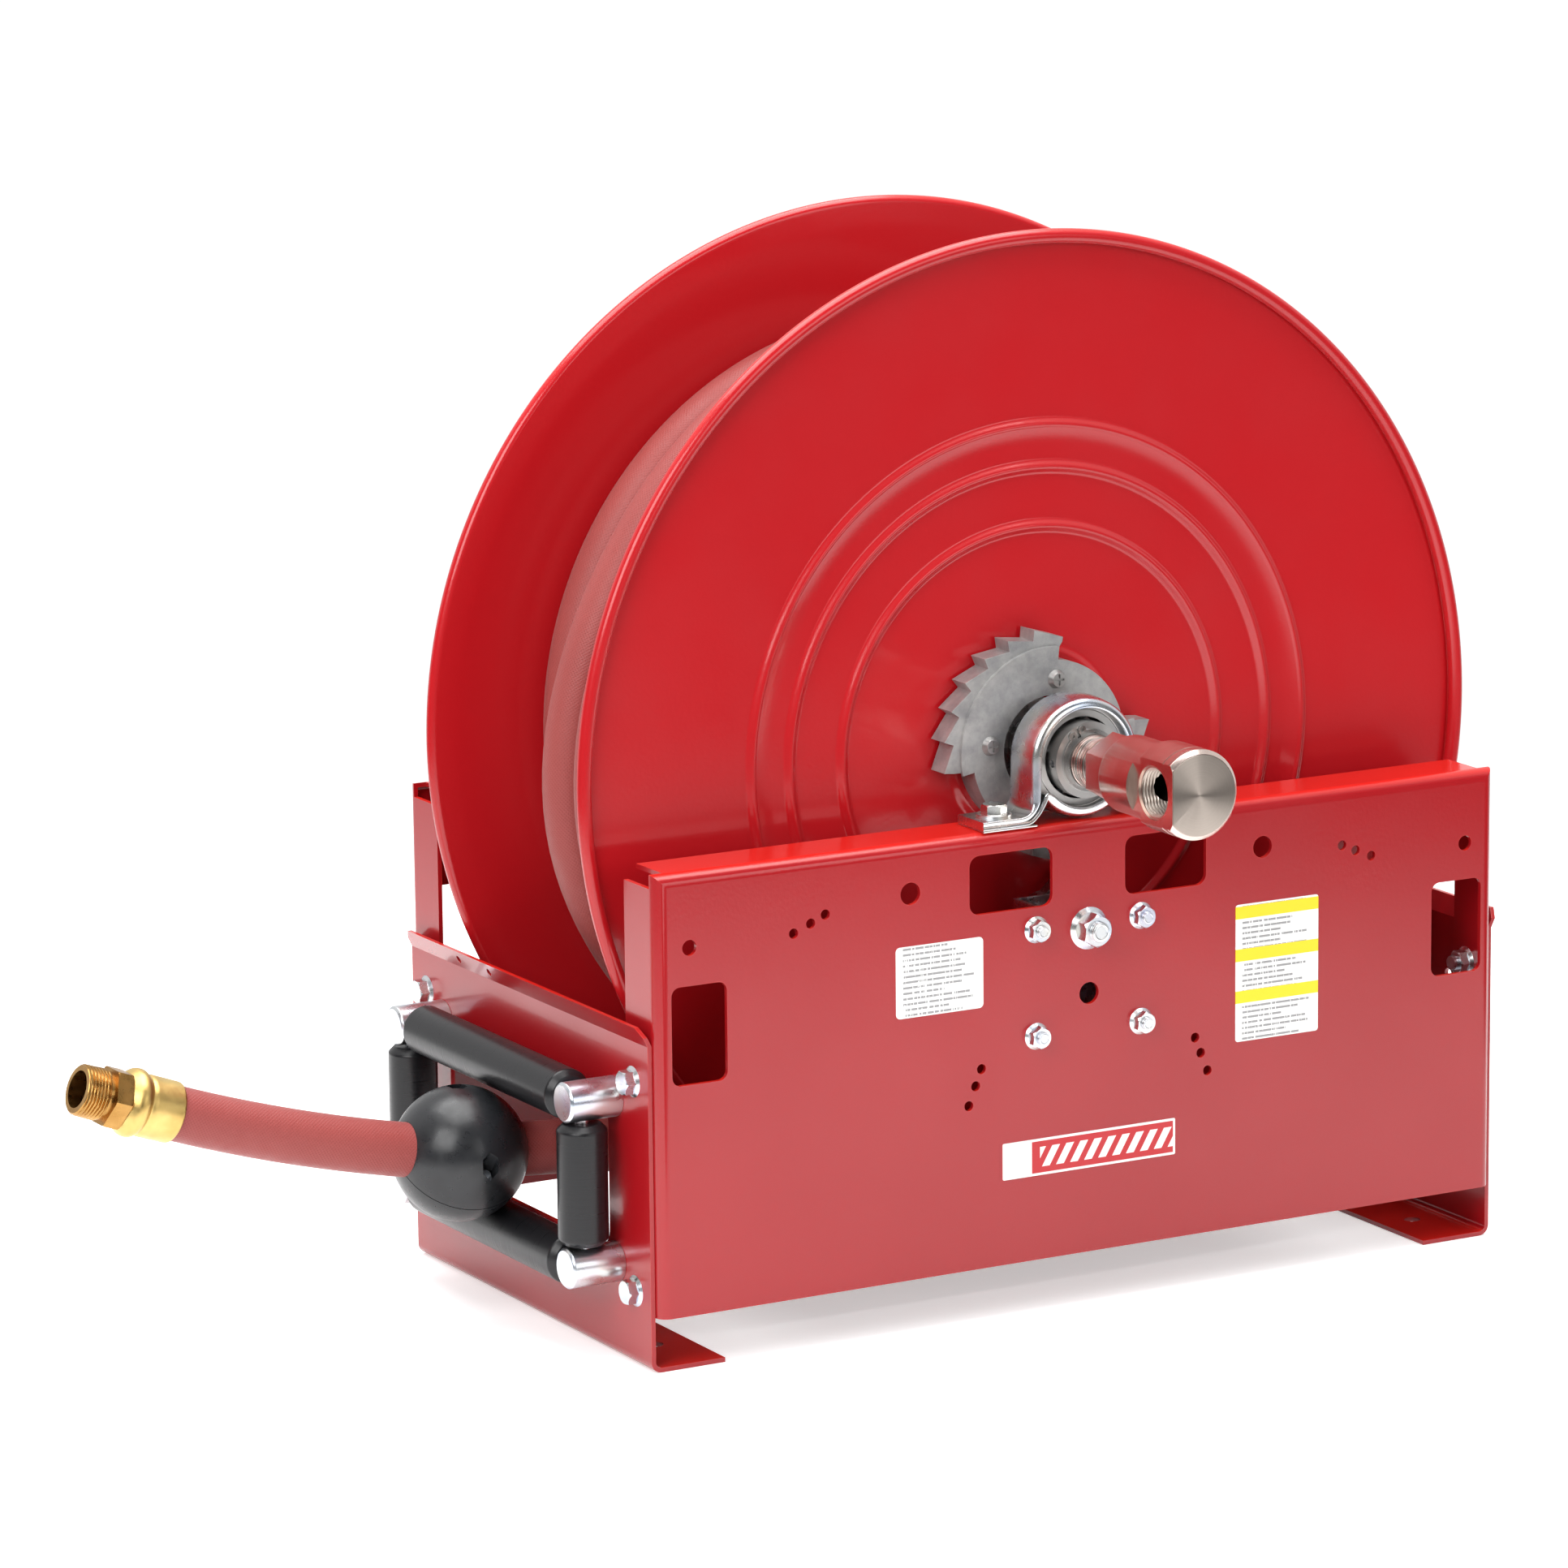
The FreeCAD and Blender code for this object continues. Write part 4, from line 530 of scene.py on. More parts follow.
def brass(name, light, dark, rough):
    s = Shader(name)
    stain = s.spread(s.noise(55, 4), 0, 1)
    s.set(Base_Color=s.mix(stain, light, dark), Metallic=1.0)
    s.set(Roughness=s.spread(s.noise(160, 3), rough - 0.05, rough + 0.1))
    s.bump(s.noise(700, 3), 0.00005, 0.8)
    return s.material


def label_face(name, node, rows, bands, stripes=False):
    """A white film with plain grey bars where print would be, and coloured bands."""
    low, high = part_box(node)
    s = Shader(name)
    across = s.spread(s.axis("X"), 0.0, 1.0, low.x, high.x)
    rise = s.spread(s.axis("Z"), 0.0, 1.0, low.z, high.z)
    row = s.math("MULTIPLY", rise, float(rows))
    number = s.math("FLOOR", row)
    white = s.tree.nodes.new("ShaderNodeTexWhiteNoise")
    white.noise_dimensions = "1D"
    s.feed(white.inputs["W"], number)
    end = s.spread(white.outputs["Value"], 0.55, 0.92, 0, 1)
    inside = s.math("MULTIPLY", s.math("GREATER_THAN", across, 0.08),
                    s.math("LESS_THAN", across, end))
    line = s.near(s.math("FRACT", row), 0.5, 0.2)
    broken = s.math("GREATER_THAN", s.noise(1.0, 1, 0.5, s.stretch(900, 1, 60)), 0.4)
    ink = s.math("MULTIPLY", s.math("MULTIPLY", line, inside), broken)
    face = s.mix(s.math("MULTIPLY", ink, 0.7), colour(238, 238, 236), colour(70, 70, 74))
    for middle, half in bands:
        face = s.mix(s.near(rise, middle, half), face, colour(247, 214, 30))
    s.set(Base_Color=face, Roughness=s.spread(s.noise(80, 2), 0.32, 0.4))
    s.bump(s.noise(300, 2), 0.00005, 0.4)
    return s.material


def strip_face(name, node):
    """A red film with a white outline, a white block and plain slanted stripes."""
    low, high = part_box(node)
    s = Shader(name)
    x = s.math("SUBTRACT", s.axis("X"), low.x)
    z = s.math("SUBTRACT", s.axis("Z"), low.z)
    width, height = high.x - low.x, high.z - low.z
    rim, margin, pitch = 1.6 * MM, 5.5 * MM, 10.5 * MM
    inside = s.math("MULTIPLY", s.near(x, width / 2, width / 2 - rim),
                    s.near(z, height / 2, height / 2 - rim))
    outside = s.math("SUBTRACT", 1.0, inside)
    block = s.math("LESS_THAN", x, height * 0.9)
    slant = s.math("FRACT", s.math("DIVIDE", s.math("ADD", x, s.math("MULTIPLY", z, -0.6)), pitch))
    clear = s.math("MULTIPLY", s.math("GREATER_THAN", x, height * 1.15),
                   s.near(z, height / 2, height / 2 - margin))
    bars = s.math("MULTIPLY", s.math("GREATER_THAN", slant, 0.45), clear)
    white = s.math("MAXIMUM", s.math("MAXIMUM", outside, block), bars)
    s.set(Base_Color=s.mix(white, colour(186, 28, 36), colour(240, 236, 234)))
    s.set(Roughness=s.spread(s.noise(80, 2), 0.28, 0.36))
    s.bump(s.noise(300, 2), 0.00005, 0.4)
    return s.material


# painted shade: the frame's copy of the same red coat is set darker than the drum's, standing in for less light on
# the frame
PAINT_FRAME_SHADED = paint("paint_frame_shaded", colour(161, 19, 26), colour(153, 17, 24))
PAINT_DRUM = paint("paint_drum", colour(182, 22, 29), colour(174, 20, 27))
ZINC = zinc_plate("zinc", 0.25)
ZINC_SATIN = zinc_plate("zinc_satin", 0.28)
CAST = cast_metal("cast_aluminium", colour(178, 177, 175), colour(142, 142, 143), 0.42)
IRON = cast_metal("cast_iron", colour(92, 92, 95), colour(66, 66, 70), 0.5)
STEEL = turned_metal("turned_steel", colour(176, 174, 172), colour(140, 138, 136), 0.28,
                     (40, 900, 40))
BEARING_STEEL = turned_metal("bearing_steel", colour(188, 190, 192), colour(150, 152, 156), 0.2,
                             (30, 500, 30))
SATIN_STEEL = turned_metal("satin_steel", colour(196, 194, 192), colour(168, 166, 164), 0.36,
                           (30, 500, 30), 0.00002)
DARK_STEEL = turned_metal("dark_steel", colour(96, 96, 98), colour(70, 70, 73), 0.33,
                          (300, 300, 300))
NICKEL = turned_nickel("nickel")
PORT_STEEL = turned_metal("port_steel", colour(218, 206, 196), colour(176, 162, 152), 0.36,
                          (200, 200, 200))
THREAD_STEEL = turned_metal("thread_steel", colour(150, 142, 136), colour(104, 98, 94), 0.26,
                            (200, 200, 200))
BRASS_FERRULE = brass("brass_ferrule", colour(214, 186, 118), colour(192, 160, 94), 0.36)
BRASS_TURNED = brass("brass_turned", colour(188, 146, 86), colour(160, 118, 62), 0.26)
BRONZE = brass("bronze", colour(176, 128, 72), colour(150, 104, 58), 0.4)
HOSE = rubber_hose("hose_cover")
BALL_RUBBER = moulded_rubber("ball_rubber")
SEAL_RUBBER = moulded_rubber("seal_rubber")
ROLLER_LEVEL = turned_plastic("roller_level", (25, 900, 25))
ROLLER_UPRIGHT = turned_plastic("roller_upright", (25, 25, 900))

FINISH = {"frame_paint": PAINT_FRAME_SHADED, "drum_paint": PAINT_DRUM, "zinc": ZINC,
          "bearing_steel": BEARING_STEEL, "dark_steel": DARK_STEEL, "shaft_steel": STEEL,
          "swivel_nickel": NICKEL, "seal_rubber": SEAL_RUBBER, "cast_aluminium": CAST,
          "cast_iron": IRON, "bronze": BRONZE, "brass": BRASS_TURNED, "hose_rubber": HOSE,
          "ball_rubber": BALL_RUBBER, "roller_plastic": ROLLER_LEVEL}
SPECIAL = {"rating_label": label_face("rating_print", "rating_label", 13, ()),
           "safety_label": label_face("safety_print", "safety_label", 26,
                                      ((0.94, 0.045), (0.63, 0.045), (0.325, 0.045))),
           "name_strip": strip_face("strip_print", "name_strip"),
           "roller_posts": ZINC_SATIN, "bearing_shields": SATIN_STEEL,
           "bearing_outer_ring": SATIN_STEEL, "bearing_inner_ring": SATIN_STEEL,
           "shaft_circlip": STEEL, "ratchet_screws": SATIN_STEEL}

for entry in frame["record"]["subparts"]:
    node, slot = entry["node"], entry["material_slot"]
    dress(frame["nodes"][node], SPECIAL.get(node) or FINISH[slot])

SOFT_EDGES = {
    0.0007: ("front_side_panel", "rear_side_panel", "roller_end_plate", "plain_end_plate",
             "ratchet_ring", "rear_pedestal",
             "bearing_backing_plate", "pawl_bracket", "spring_case_cover"),
    0.0004: ("end_plate_bolts", "end_plate_nuts", "foot_bolts", "foot_nuts", "bracket_bolts",
             "bracket_nuts", "pawl_pivot_bolt", "pawl_pivot_nut", "post_screws", "case_screws",
             "ratchet_screws", "roller_posts", "swivel_stem", "main_shaft",
             "bearing_outer_ring", "bearing_inner_ring", "shaft_circlip", "spring_arbor",
             "pawl", "arbor_pin", "stop_ball_bolts", "front_hub", "spring_case", "bearing_shields"),
}
for width, names in SOFT_EDGES.items():
    for node in names:
        soften(node, width)


# --- drum discs ---------------------------------------------------------------------
SHEET = 2.0 * MM
CURL_R = 4.7 * MM                          # outside radius of the rolled rim
BEAD_SHARES = (0.424, 0.539, 0.621)        # pressed rings, as shares of the rim's radius
BEAD_WIDE = 5.0 * MM
BEAD_HIGH = 2.8 * MM
BOSS_SHARE = 0.188


def ease(t):
    t = max(0.0, min(1.0, t))
    return t * t * (3 - 2 * t)


def disc_height(radius):
    """Height of the disc's outer face above its flat at a radius."""
    height = 2.5 * MM * (1 - ease((radius - BOSS_SHARE * RIM_R) / (7 * MM) + 0.5))
    for share in BEAD_SHARES:
        away = abs(radius - share * RIM_R) / BEAD_WIDE
        height += BEAD_HIGH * (1 - ease(away))
    return height


def disc_profile(inner_r):
    """Closed section of the disc from its hole to the rolled rim."""
    flat = RIM_Y - 8.0 * MM
    turn_in = RIM_R - 2 * CURL_R - 1.0 * MM
    radii = [inner_r]
    while radii[-1] < turn_in - 6 * MM:
        here = radii[-1]
        step = 6 * MM
        for share in BEAD_SHARES + (BOSS_SHARE,):
            if abs(here + 0.5 * MM - share * RIM_R) < BEAD_WIDE + 2 * MM:
                step = 0.7 * MM
        radii.append(here + step)
    outer = [(r, flat + disc_height(r)) for r in radii]
    inner = [(r, h - SHEET) for r, h in outer]
    curl_r, curl_h = RIM_R - CURL_R, RIM_Y - CURL_R
    curl = []
    for k in range(25):
        angle = math.radians(-90 - 8 + 330 * k / 24)
        curl.append((curl_r + CURL_R * math.cos(angle), curl_h + CURL_R * math.sin(angle)))
    lip = [(turn_in, flat), (turn_in + 2 * MM, flat - 0.3 * MM)]
    return inner + curl + lip[::-1] + outer[::-1]


def drum_disc(name, node, out, inner_r):
    disc = lathe(name, disc_profile(inner_r), Vector((HUB.x, 0, HUB.z)), Y_AXIS * out, 288)
    dress(disc, PAINT_DRUM, "drum", (node,))


drum_disc("disc_front", "front_disc", -1, 29.5 * MM)
drum_disc("disc_rear", "rear_disc", 1, (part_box("spring_case")[1].z - HUB.z) * 0.9)

# --- wound hose ---------------------------------------------------------------------
PITCH = 2.023 * HOSE_R
LAYER = 1.771 * HOSE_R
STEPS_PER_TURN = 144
CROSSING = 0.83                            # share of a turn after which it changes lane
STOP_DROP = BALL_CENTRE - HUB
LEAVE = math.asin(COIL_R / math.hypot(STOP_DROP.x, STOP_DROP.z)) - math.atan2(
    -STOP_DROP.z, -STOP_DROP.x)            # how steeply the hose leaves the drum


def lanes():
    """(radius, y) of each turn, from the free end inwards."""
    rear = -DISC_LOW.y - 10.0 * MM - HOSE_R - 0.2 * MM
    outer = [(COIL_R, HOSE_Y - PITCH * k) for k in range(3)]
    middle = [(COIL_R - LAYER, HOSE_Y + PITCH * (k + 0.5)) for k in (-2, -1, 0, 1)]
    inner = [(COIL_R - 2 * LAYER, HOSE_Y + PITCH * k) for k in (2, 1, 0, -1, -2)]
    return outer + middle + [(COIL_R - LAYER, rear)] + inner


def coil_path():
    """One length of hose wound lane by lane, changing lanes low on the guide's side."""
    rows = lanes()
    path = []
    for number, (radius, y) in enumerate(rows):
        next_radius, next_y = rows[min(number + 1, len(rows) - 1)]
        loose = (1.0, 0.75, 0.5)[number] if number < 3 else 0.0
        for step in range(STEPS_PER_TURN):
            share = step / STEPS_PER_TURN
            shift = ease((share - CROSSING) / (1 - CROSSING))
            angle = -math.pi / 2 - LEAVE + 2 * math.pi * share
            degrees = math.degrees(angle)
            slack = 17 * MM * math.exp(-((degrees - 188) / 26) ** 2)
            slack -= 4 * MM * math.exp(-((degrees - 118) / 24) ** 2)
            r = radius + (next_radius - radius) * shift + slack * loose
            path.append(Vector((HUB.x + r * math.cos(angle), y + (next_y - y) * shift,
                                HUB.z + r * math.sin(angle))))
    return path


coil = tube("hose_coil", coil_path(), HOSE_R)
dress(coil, HOSE, None, ("hose_wound",))
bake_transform(coil)


# --- free end of the hose -----------------------------------------------------------
BEND_LEAD = 14.0 * MM
BENDS = ((250.0 * MM, 6.3), (1130.0 * MM, 9.7))
GRIP = 25.0 * MM                           # hose inside the ferrule


def heading(angle):
    return Vector((-math.cos(angle), 0, math.sin(angle)))


def free_path():
    """Centre line from the drum to the coupling, split at the ball's middle."""
    angle = LEAVE
    start = Vector((HUB.x - COIL_R * math.sin(angle), HOSE_Y, HUB.z - COIL_R * math.cos(angle)))
    reach = (BALL_CENTRE - start).dot(heading(angle)) - BEND_LEAD
    first = [start + heading(angle) * reach * k / 60 for k in range(61)]
    here = first[-1]
    second = [here]
    for radius, turn in BENDS:
        bend = math.radians(turn)
        pivot = here + Vector((math.sin(angle), 0, math.cos(angle))) * radius
        for k in range(1, 41):
            now = angle + bend * k / 40
            second.append(pivot - Vector((math.sin(now), 0, math.cos(now))) * radius)
        angle += bend
        here = second[-1]
    for k in range(1, 6):
        second.append(here + heading(angle) * GRIP * k / 5)
    return first, second, here, angle


RUN_PATH, TIP_PATH, FERRULE_START, END_ANGLE = free_path()
END_WAY = heading(END_ANGLE)
run = tube("hose_run", RUN_PATH, HOSE_R)
dress(run, HOSE, None, ("hose_lead",))
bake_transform(run)
tip = tube("hose_tip", TIP_PATH, HOSE_R)
dress(tip, HOSE, "hose_end")


# --- ferrule and coupling -----------------------------------------------------------
def ferrule_profile():
    """Section of a smooth crimped sleeve with a rounded collar at the coupling's end."""
    length, collar, sleeve, inner = 37.0 * MM, 21.8 * MM, 19.6 * MM, HOSE_R + 0.1 * MM
    corners = [(inner, 0, 0), (sleeve - 0.5 * MM, 0, 0.4 * MM), (sleeve, 1.0 * MM, 0.4 * MM),
               (sleeve + 0.2 * MM, 21.0 * MM, 1.5 * MM), (sleeve - 0.6 * MM, 23.5 * MM, 1.0 * MM),
               (collar, 26.5 * MM, 1.8 * MM), (collar, 31.5 * MM, 2.4 * MM),
               (collar - 4.5 * MM, length, 1.2 * MM),
               (15.0 * MM, length, 0), (15.0 * MM, length - 4 * MM, 0)]
    return rounded(corners)


ferrule = lathe("ferrule", ferrule_profile(), FERRULE_START, END_WAY, 128)
dress(ferrule, BRASS_FERRULE, "hose_end", ("hose_ferrule",))


def hex_sleeve(name, origin, axis, flats, length, bore):
    """A hexagon bar with a bore and turned corners."""
    turn = Z_AXIS.rotation_difference(Vector(axis)).to_matrix()
    steps = 96
    reach = flats / 2 * 0.94 / math.cos(math.radians(30)) + 0.6 * MM   # radius at the ends
    rows = (0.0, 0.09, 0.2, 0.8, 0.91, 1.0)
    verts = []
    for i in range(steps):
        angle = 2 * math.pi * i / steps
        out = Vector((math.cos(angle), math.sin(angle), 0))
        off = (math.degrees(angle) + 30) % 60 - 30
        flat_r = flats / 2 / math.cos(math.radians(off))
        ring = [out * bore]
        for share in rows:
            near_end = min(share, 1 - share)
            cap = reach + (near_end * length) * 1.3
            ring.append(out * min(flat_r, cap) + Z_AXIS * share * length)
        ring.append(out * bore + Z_AXIS * length)
        verts += [origin + turn @ v for v in ring]
    return solid(name, verts, ring_faces(steps, len(rows) + 2))


COUPLING_START = FERRULE_START + END_WAY * 37.0 * MM
THREAD_MOUNT = MOUNTS["coupling_thread"]["dims"]
THREAD_R = THREAD_MOUNT["r_mm"] * MM
THREAD_LEN = THREAD_MOUNT["length_mm"] * MM
hexagon = hex_sleeve("coupling_hex", COUPLING_START, END_WAY, 35 * MM, 11 * MM, 11.7 * MM)
neck = lathe("coupling_neck", rounded([(11.7 * MM, 10.5 * MM, 0), (15.5 * MM, 10.5 * MM, 0),
                                       (15.5 * MM, 15.0 * MM, 0), (11.7 * MM, 15.0 * MM, 0)]),
             COUPLING_START, END_WAY, 96)
screw = thread("coupling_thread", COUPLING_START + END_WAY * 14.0 * MM, END_WAY, THREAD_R,
               THREAD_LEN, 2.2 * MM, 0.03, 0.71)
coupling = join("coupling", [hexagon, neck, screw])
coupling.data.set_sharp_from_angle(angle=math.radians(28))
dress(coupling, BRASS_TURNED, "hose_end", ("hose_coupling",))


# --- rollers ------------------------------------------------------------------------
def roller(name, node, axis, material):
    low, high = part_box(node)
    centre = (low + high) / 2
    half = (high - low).dot(axis) / 2
    radius = (high.x - low.x) / 2
    bore = 4.9 * MM
    chamfer = 4.0 * MM
    corners = [(bore, -half, 0.4 * MM), (radius - chamfer, -half, 0.8 * MM),
               (radius, -half + chamfer, 1.2 * MM), (radius, half - chamfer, 1.2 * MM),
               (radius - chamfer, half, 0.8 * MM), (bore, half, 0.4 * MM)]
    piece = lathe(name, rounded(corners), centre, axis, 96)
    dress(piece, material, node + "_body", (node,))


roller("roller_top", "upper_roller", Y_AXIS, ROLLER_LEVEL)
roller("roller_bottom", "lower_roller", Y_AXIS, ROLLER_LEVEL)
roller("roller_front", "front_roller", Z_AXIS, ROLLER_UPRIGHT)
roller("roller_rear", "rear_roller", Z_AXIS, ROLLER_UPRIGHT)


# --- bearing straps, washers and fastener threads -----------------------------------
def section_half(corner_r, depth, inset, inner_r):
    """Right half of a strap's section as (across, inwards), from its face round to its inside."""
    points = []
    for k in range(6):
        turn = math.radians(18 * k)
        points.append((STRAP_HALF - corner_r + corner_r * math.sin(turn),
                       corner_r - corner_r * math.cos(turn)))
    points += [(STRAP_HALF, depth - 0.6 * MM), (STRAP_HALF - 0.5 * MM, depth),
               (STRAP_HALF - inset + 0.3 * MM, depth), (STRAP_HALF - inset, depth - 0.5 * MM)]
    for k in range(4):
        turn = math.radians(90 - 30 * k)
        points.append((STRAP_HALF - inset - inner_r + inner_r * math.sin(turn),
                       STRAP_T + inner_r - inner_r * math.cos(turn)))
    return points


def strap_section(curl):
    """Closed section of the pressed strap: a flat strip at 0, lips turned in at 1."""
    curled = section_half(5.0 * MM, LIP_DEPTH, STRAP_T, 2.2 * MM)
    flat = section_half(0.7 * MM, STRAP_T, 1.2 * MM, 0.1 * MM)
    half = [(a[0] + (b[0] - a[0]) * curl, a[1] + (b[1] - a[1]) * curl) for a, b in zip(flat, curled)]
    crown = [(share * STRAP_HALF * 0.6, -0.9 * MM * curl * (1 - share * share))
             for share in (-0.75, -0.4, 0, 0.4, 0.75)]
    return crown + half + [(-u, h) for u, h in reversed(half)]


def pressed_strip(name, corners, curl_at, flip):
    """Sweeps the strap's section along eased (x, z) corners beside the bearing."""
    path = [Vector((x, 0, z)) for x, z in rounded(corners, False, 8)]
    count = len(path)
    verts = []
    for i, point in enumerate(path):
        ahead = (path[min(i + 1, count - 1)] - path[max(i - 1, 0)]).normalized()
        out = Vector((-ahead.z, 0, ahead.x))
        section = strap_section(curl_at(point))
        for u, h in section:
            inward = STRAP_T - h if flip else h
            verts.append(Vector((HUB.x, STRAP_Y, 0)) + point - out * inward + Y_AXIS * u)
    size = len(section)
    faces = [tuple(range(size)), tuple((count - 1) * size + k for k in range(size))]
    for i in range(count - 1):
        for k in range(size):
            after = (k + 1) % size
            faces.append((i * size + k, (i + 1) * size + k, (i + 1) * size + after, i * size + after))
    piece = solid(name, verts, faces)
    piece.data.set_sharp_from_angle(angle=math.radians(50))
    return weigh_normals(piece)


HOUSING_LOW, HOUSING_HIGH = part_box("bearing_housing_upper")
STRAP_Y = (HOUSING_LOW.y + HOUSING_HIGH.y) / 2
STRAP_HALF = (HOUSING_HIGH.y - HOUSING_LOW.y) / 2
STRAP_R = HOUSING_HIGH.z - HUB.z
STRAP_FOOT_X = HOUSING_HIGH.x
STRAP_T = 2.8 * MM
LIP_DEPTH = 6.2 * MM
FOOT_TOP = HOUSING_LOW.z + STRAP_T


def upper_corners():
    corners = [(-STRAP_FOOT_X, FOOT_TOP, 0), (-STRAP_R - 14 * MM, FOOT_TOP, 0),
               (-STRAP_R, FOOT_TOP, 9 * MM)]
    for k in range(49):
        turn = math.pi * (1 - k / 48)
        corners.append((STRAP_R * math.cos(turn), HUB.z + STRAP_R * math.sin(turn), 0))
    return corners + [(STRAP_R, FOOT_TOP, 9 * MM), (STRAP_R + 14 * MM, FOOT_TOP, 0),
                      (STRAP_FOOT_X, FOOT_TOP, 0)]


def lower_corners():
    low = FOOT_TOP - STRAP_T
    cradle_r = BEARING_R - 1.2 * MM
    left = [(-STRAP_FOOT_X, low, 0), (-48 * MM, low, 0), (-41 * MM, low + 0.2 * MM, 3 * MM),
            (-35.5 * MM, low + 5.5 * MM, 2.5 * MM), (-31.5 * MM, low + 12 * MM, 2 * MM),
            (-29 * MM, low + 17.5 * MM, 3.5 * MM)]
    cradle = []
    for k in range(33):
        turn = math.radians(-136 + 92 * k / 32)
        cradle.append((cradle_r * math.cos(turn), HUB.z + cradle_r * math.sin(turn), 0))
    return left + cradle + [(-x, z, e) for x, z, e in reversed(left)]


BEARING_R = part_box("bearing_outer_ring")[1].z - HUB.z
upper = pressed_strip("housing_upper", upper_corners(),
                      lambda p: ease((p.z - FOOT_TOP - 1 * MM) / (12 * MM)), False)
dress(upper, ZINC, "frame", ("bearing_housing_upper",))
lower = pressed_strip("housing_lower", lower_corners(),
                      lambda p: ease((30 * MM - abs(p.x)) / (5 * MM)), True)
dress(lower, ZINC, "frame", ("bearing_housing_lower",))


def washers(name, node, radius, thick):
    """Plain washers on the strap's feet, under the heads of a node's bolts."""
    rings = []
    for number, (low, high) in enumerate(lumps(node)):
        centre = (low + high) / 2
        if centre.y > 0:
            continue
        seat = Vector((centre.x, centre.y, FOOT_TOP))
        section = rounded([(4.0 * MM, 0, 0), (radius, 0, 0.3 * MM), (radius, thick, 0.4 * MM),
                           (4.0 * MM, thick, 0)])
        rings.append(lathe(f"{name}_{number}", section, seat, Z_AXIS, 64))
    piece = join(name, rings)
    piece.data.set_sharp_from_angle(angle=math.radians(40))
    dress(piece, ZINC_SATIN, "frame")


def bolt_ends(name, node, axis, radius, length, pitch):
    """Threads on the free ends of a node's bolts, which end at the far side along axis."""
    threads = []
    for number, (low, high) in enumerate(lumps(node)):
        centre = (low + high) / 2
        half = abs((high - low).dot(axis)) / 2
        tip_end = centre + axis * half
        origin = tip_end - axis * (length - 0.2 * MM)
        threads.append(thread(f"{name}_{number}", origin, axis, radius, length, pitch, 0.0, 0.6))
    piece = join(name, threads)
    dress(piece, ZINC_SATIN, "frame")


bolt_ends("bracket_threads", "bracket_bolts", -Y_AXIS, 4.2 * MM, 7.5 * MM, 1.41 * MM)
bolt_ends("pivot_threads", "pawl_pivot_bolt", -Y_AXIS, 6.6 * MM, 11 * MM, 1.95 * MM)
washers("foot_washers", "foot_bolts", 11.5 * MM, 1.6 * MM)
bolt_ends("foot_threads", "foot_bolts", -Z_AXIS, 5.0 * MM, 11 * MM, 1.59 * MM)


# --- swivel -------------------------------------------------------------------------
PORT = Vector(MOUNTS["inlet_port"]["pos_m"])
BODY_LOW, BODY_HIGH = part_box("swivel_body")
BODY_R = BODY_HIGH.z - HUB.z
NECK_R = 25.0 * MM
STEP_Y = BODY_LOW.y + 37.0 * MM
FLAT_X = HUB.x - 20.0 * MM
CHAMFER = 2.6 * MM
PORT_R = 17.0 * MM
WAY_R = 9.8 * MM                           # water way along the shaft
CLEAR = 60 * MM                            # how far the cutters reach past the body


def block(name, low, high):
    """An axis-aligned box to cut with."""
    bpy.ops.mesh.primitive_cube_add(size=1)
    cube = bpy.context.object
    cube.name = name
    cube.location = (Vector(low) + Vector(high)) / 2
    cube.scale = Vector(high) - Vector(low)
    return cube


def cylinder(name, start, axis, profile):
    """A closed turned shape to cut with, from (radius, height) corners on its outside."""
    ends = [(0.0, profile[0][1])] + profile + [(0.0, profile[-1][1])]
    shape = lathe(name, ends, Vector(start), axis, 96)
    shape.modifiers.clear()
    return shape


def carve(obj, cutters):
    """Cuts shapes out of a piece for good and closes hairline gaps that the cuts leave."""
    obj.modifiers.clear()
    for cutter in cutters:
        cut = obj.modifiers.new("cut", "BOOLEAN")
        cut.object = cutter
        cut.solver = "EXACT"
    bpy.context.view_layer.update()
    graph = bpy.context.evaluated_depsgraph_get()
    mesh = bpy.data.meshes.new_from_object(obj.evaluated_get(graph))
    work = bmesh.new()
    work.from_mesh(mesh)
    bmesh.ops.remove_doubles(work, verts=work.verts, dist=2e-6)
    work.to_mesh(mesh)
    work.free()
    obj.modifiers.clear()
    obj.data = mesh
    obj.data.set_sharp_from_angle(angle=math.radians(32))


def swivel_profile():
    """Section of the end block from the neck's end to the faced end, with two fine grooves."""
    back = BODY_HIGH.y - BODY_LOW.y
    step = STEP_Y - BODY_LOW.y
    corners = [(0.0, back, 0), (NECK_R, back, 1.0 * MM), (NECK_R, step, 0.3 * MM),
               (BODY_R, step, 0.8 * MM)]
    for groove in (11.0 * MM, 4.4 * MM):
        corners += [(BODY_R, groove + 0.35 * MM, 0), (BODY_R - 0.5 * MM, groove, 0),
                    (BODY_R, groove - 0.35 * MM, 0)]
    corners += [(BODY_R, CHAMFER, 0.15 * MM), (BODY_R - CHAMFER, 0.0, 0.1 * MM), (0.0, 0.0, 0)]
    return rounded(corners)


def flat_cutter():
    return block("cut_flat", (HUB.x - CLEAR, BODY_LOW.y - 20 * MM, HUB.z - CLEAR),
                 (FLAT_X, STEP_Y + 9 * MM, HUB.z + CLEAR))


def way_cutter():
    length = BODY_HIGH.y - PORT.y + 5 * MM
    return cylinder("cut_way", (HUB.x, PORT.y, HUB.z), Y_AXIS, [(WAY_R, 0), (WAY_R, length)])


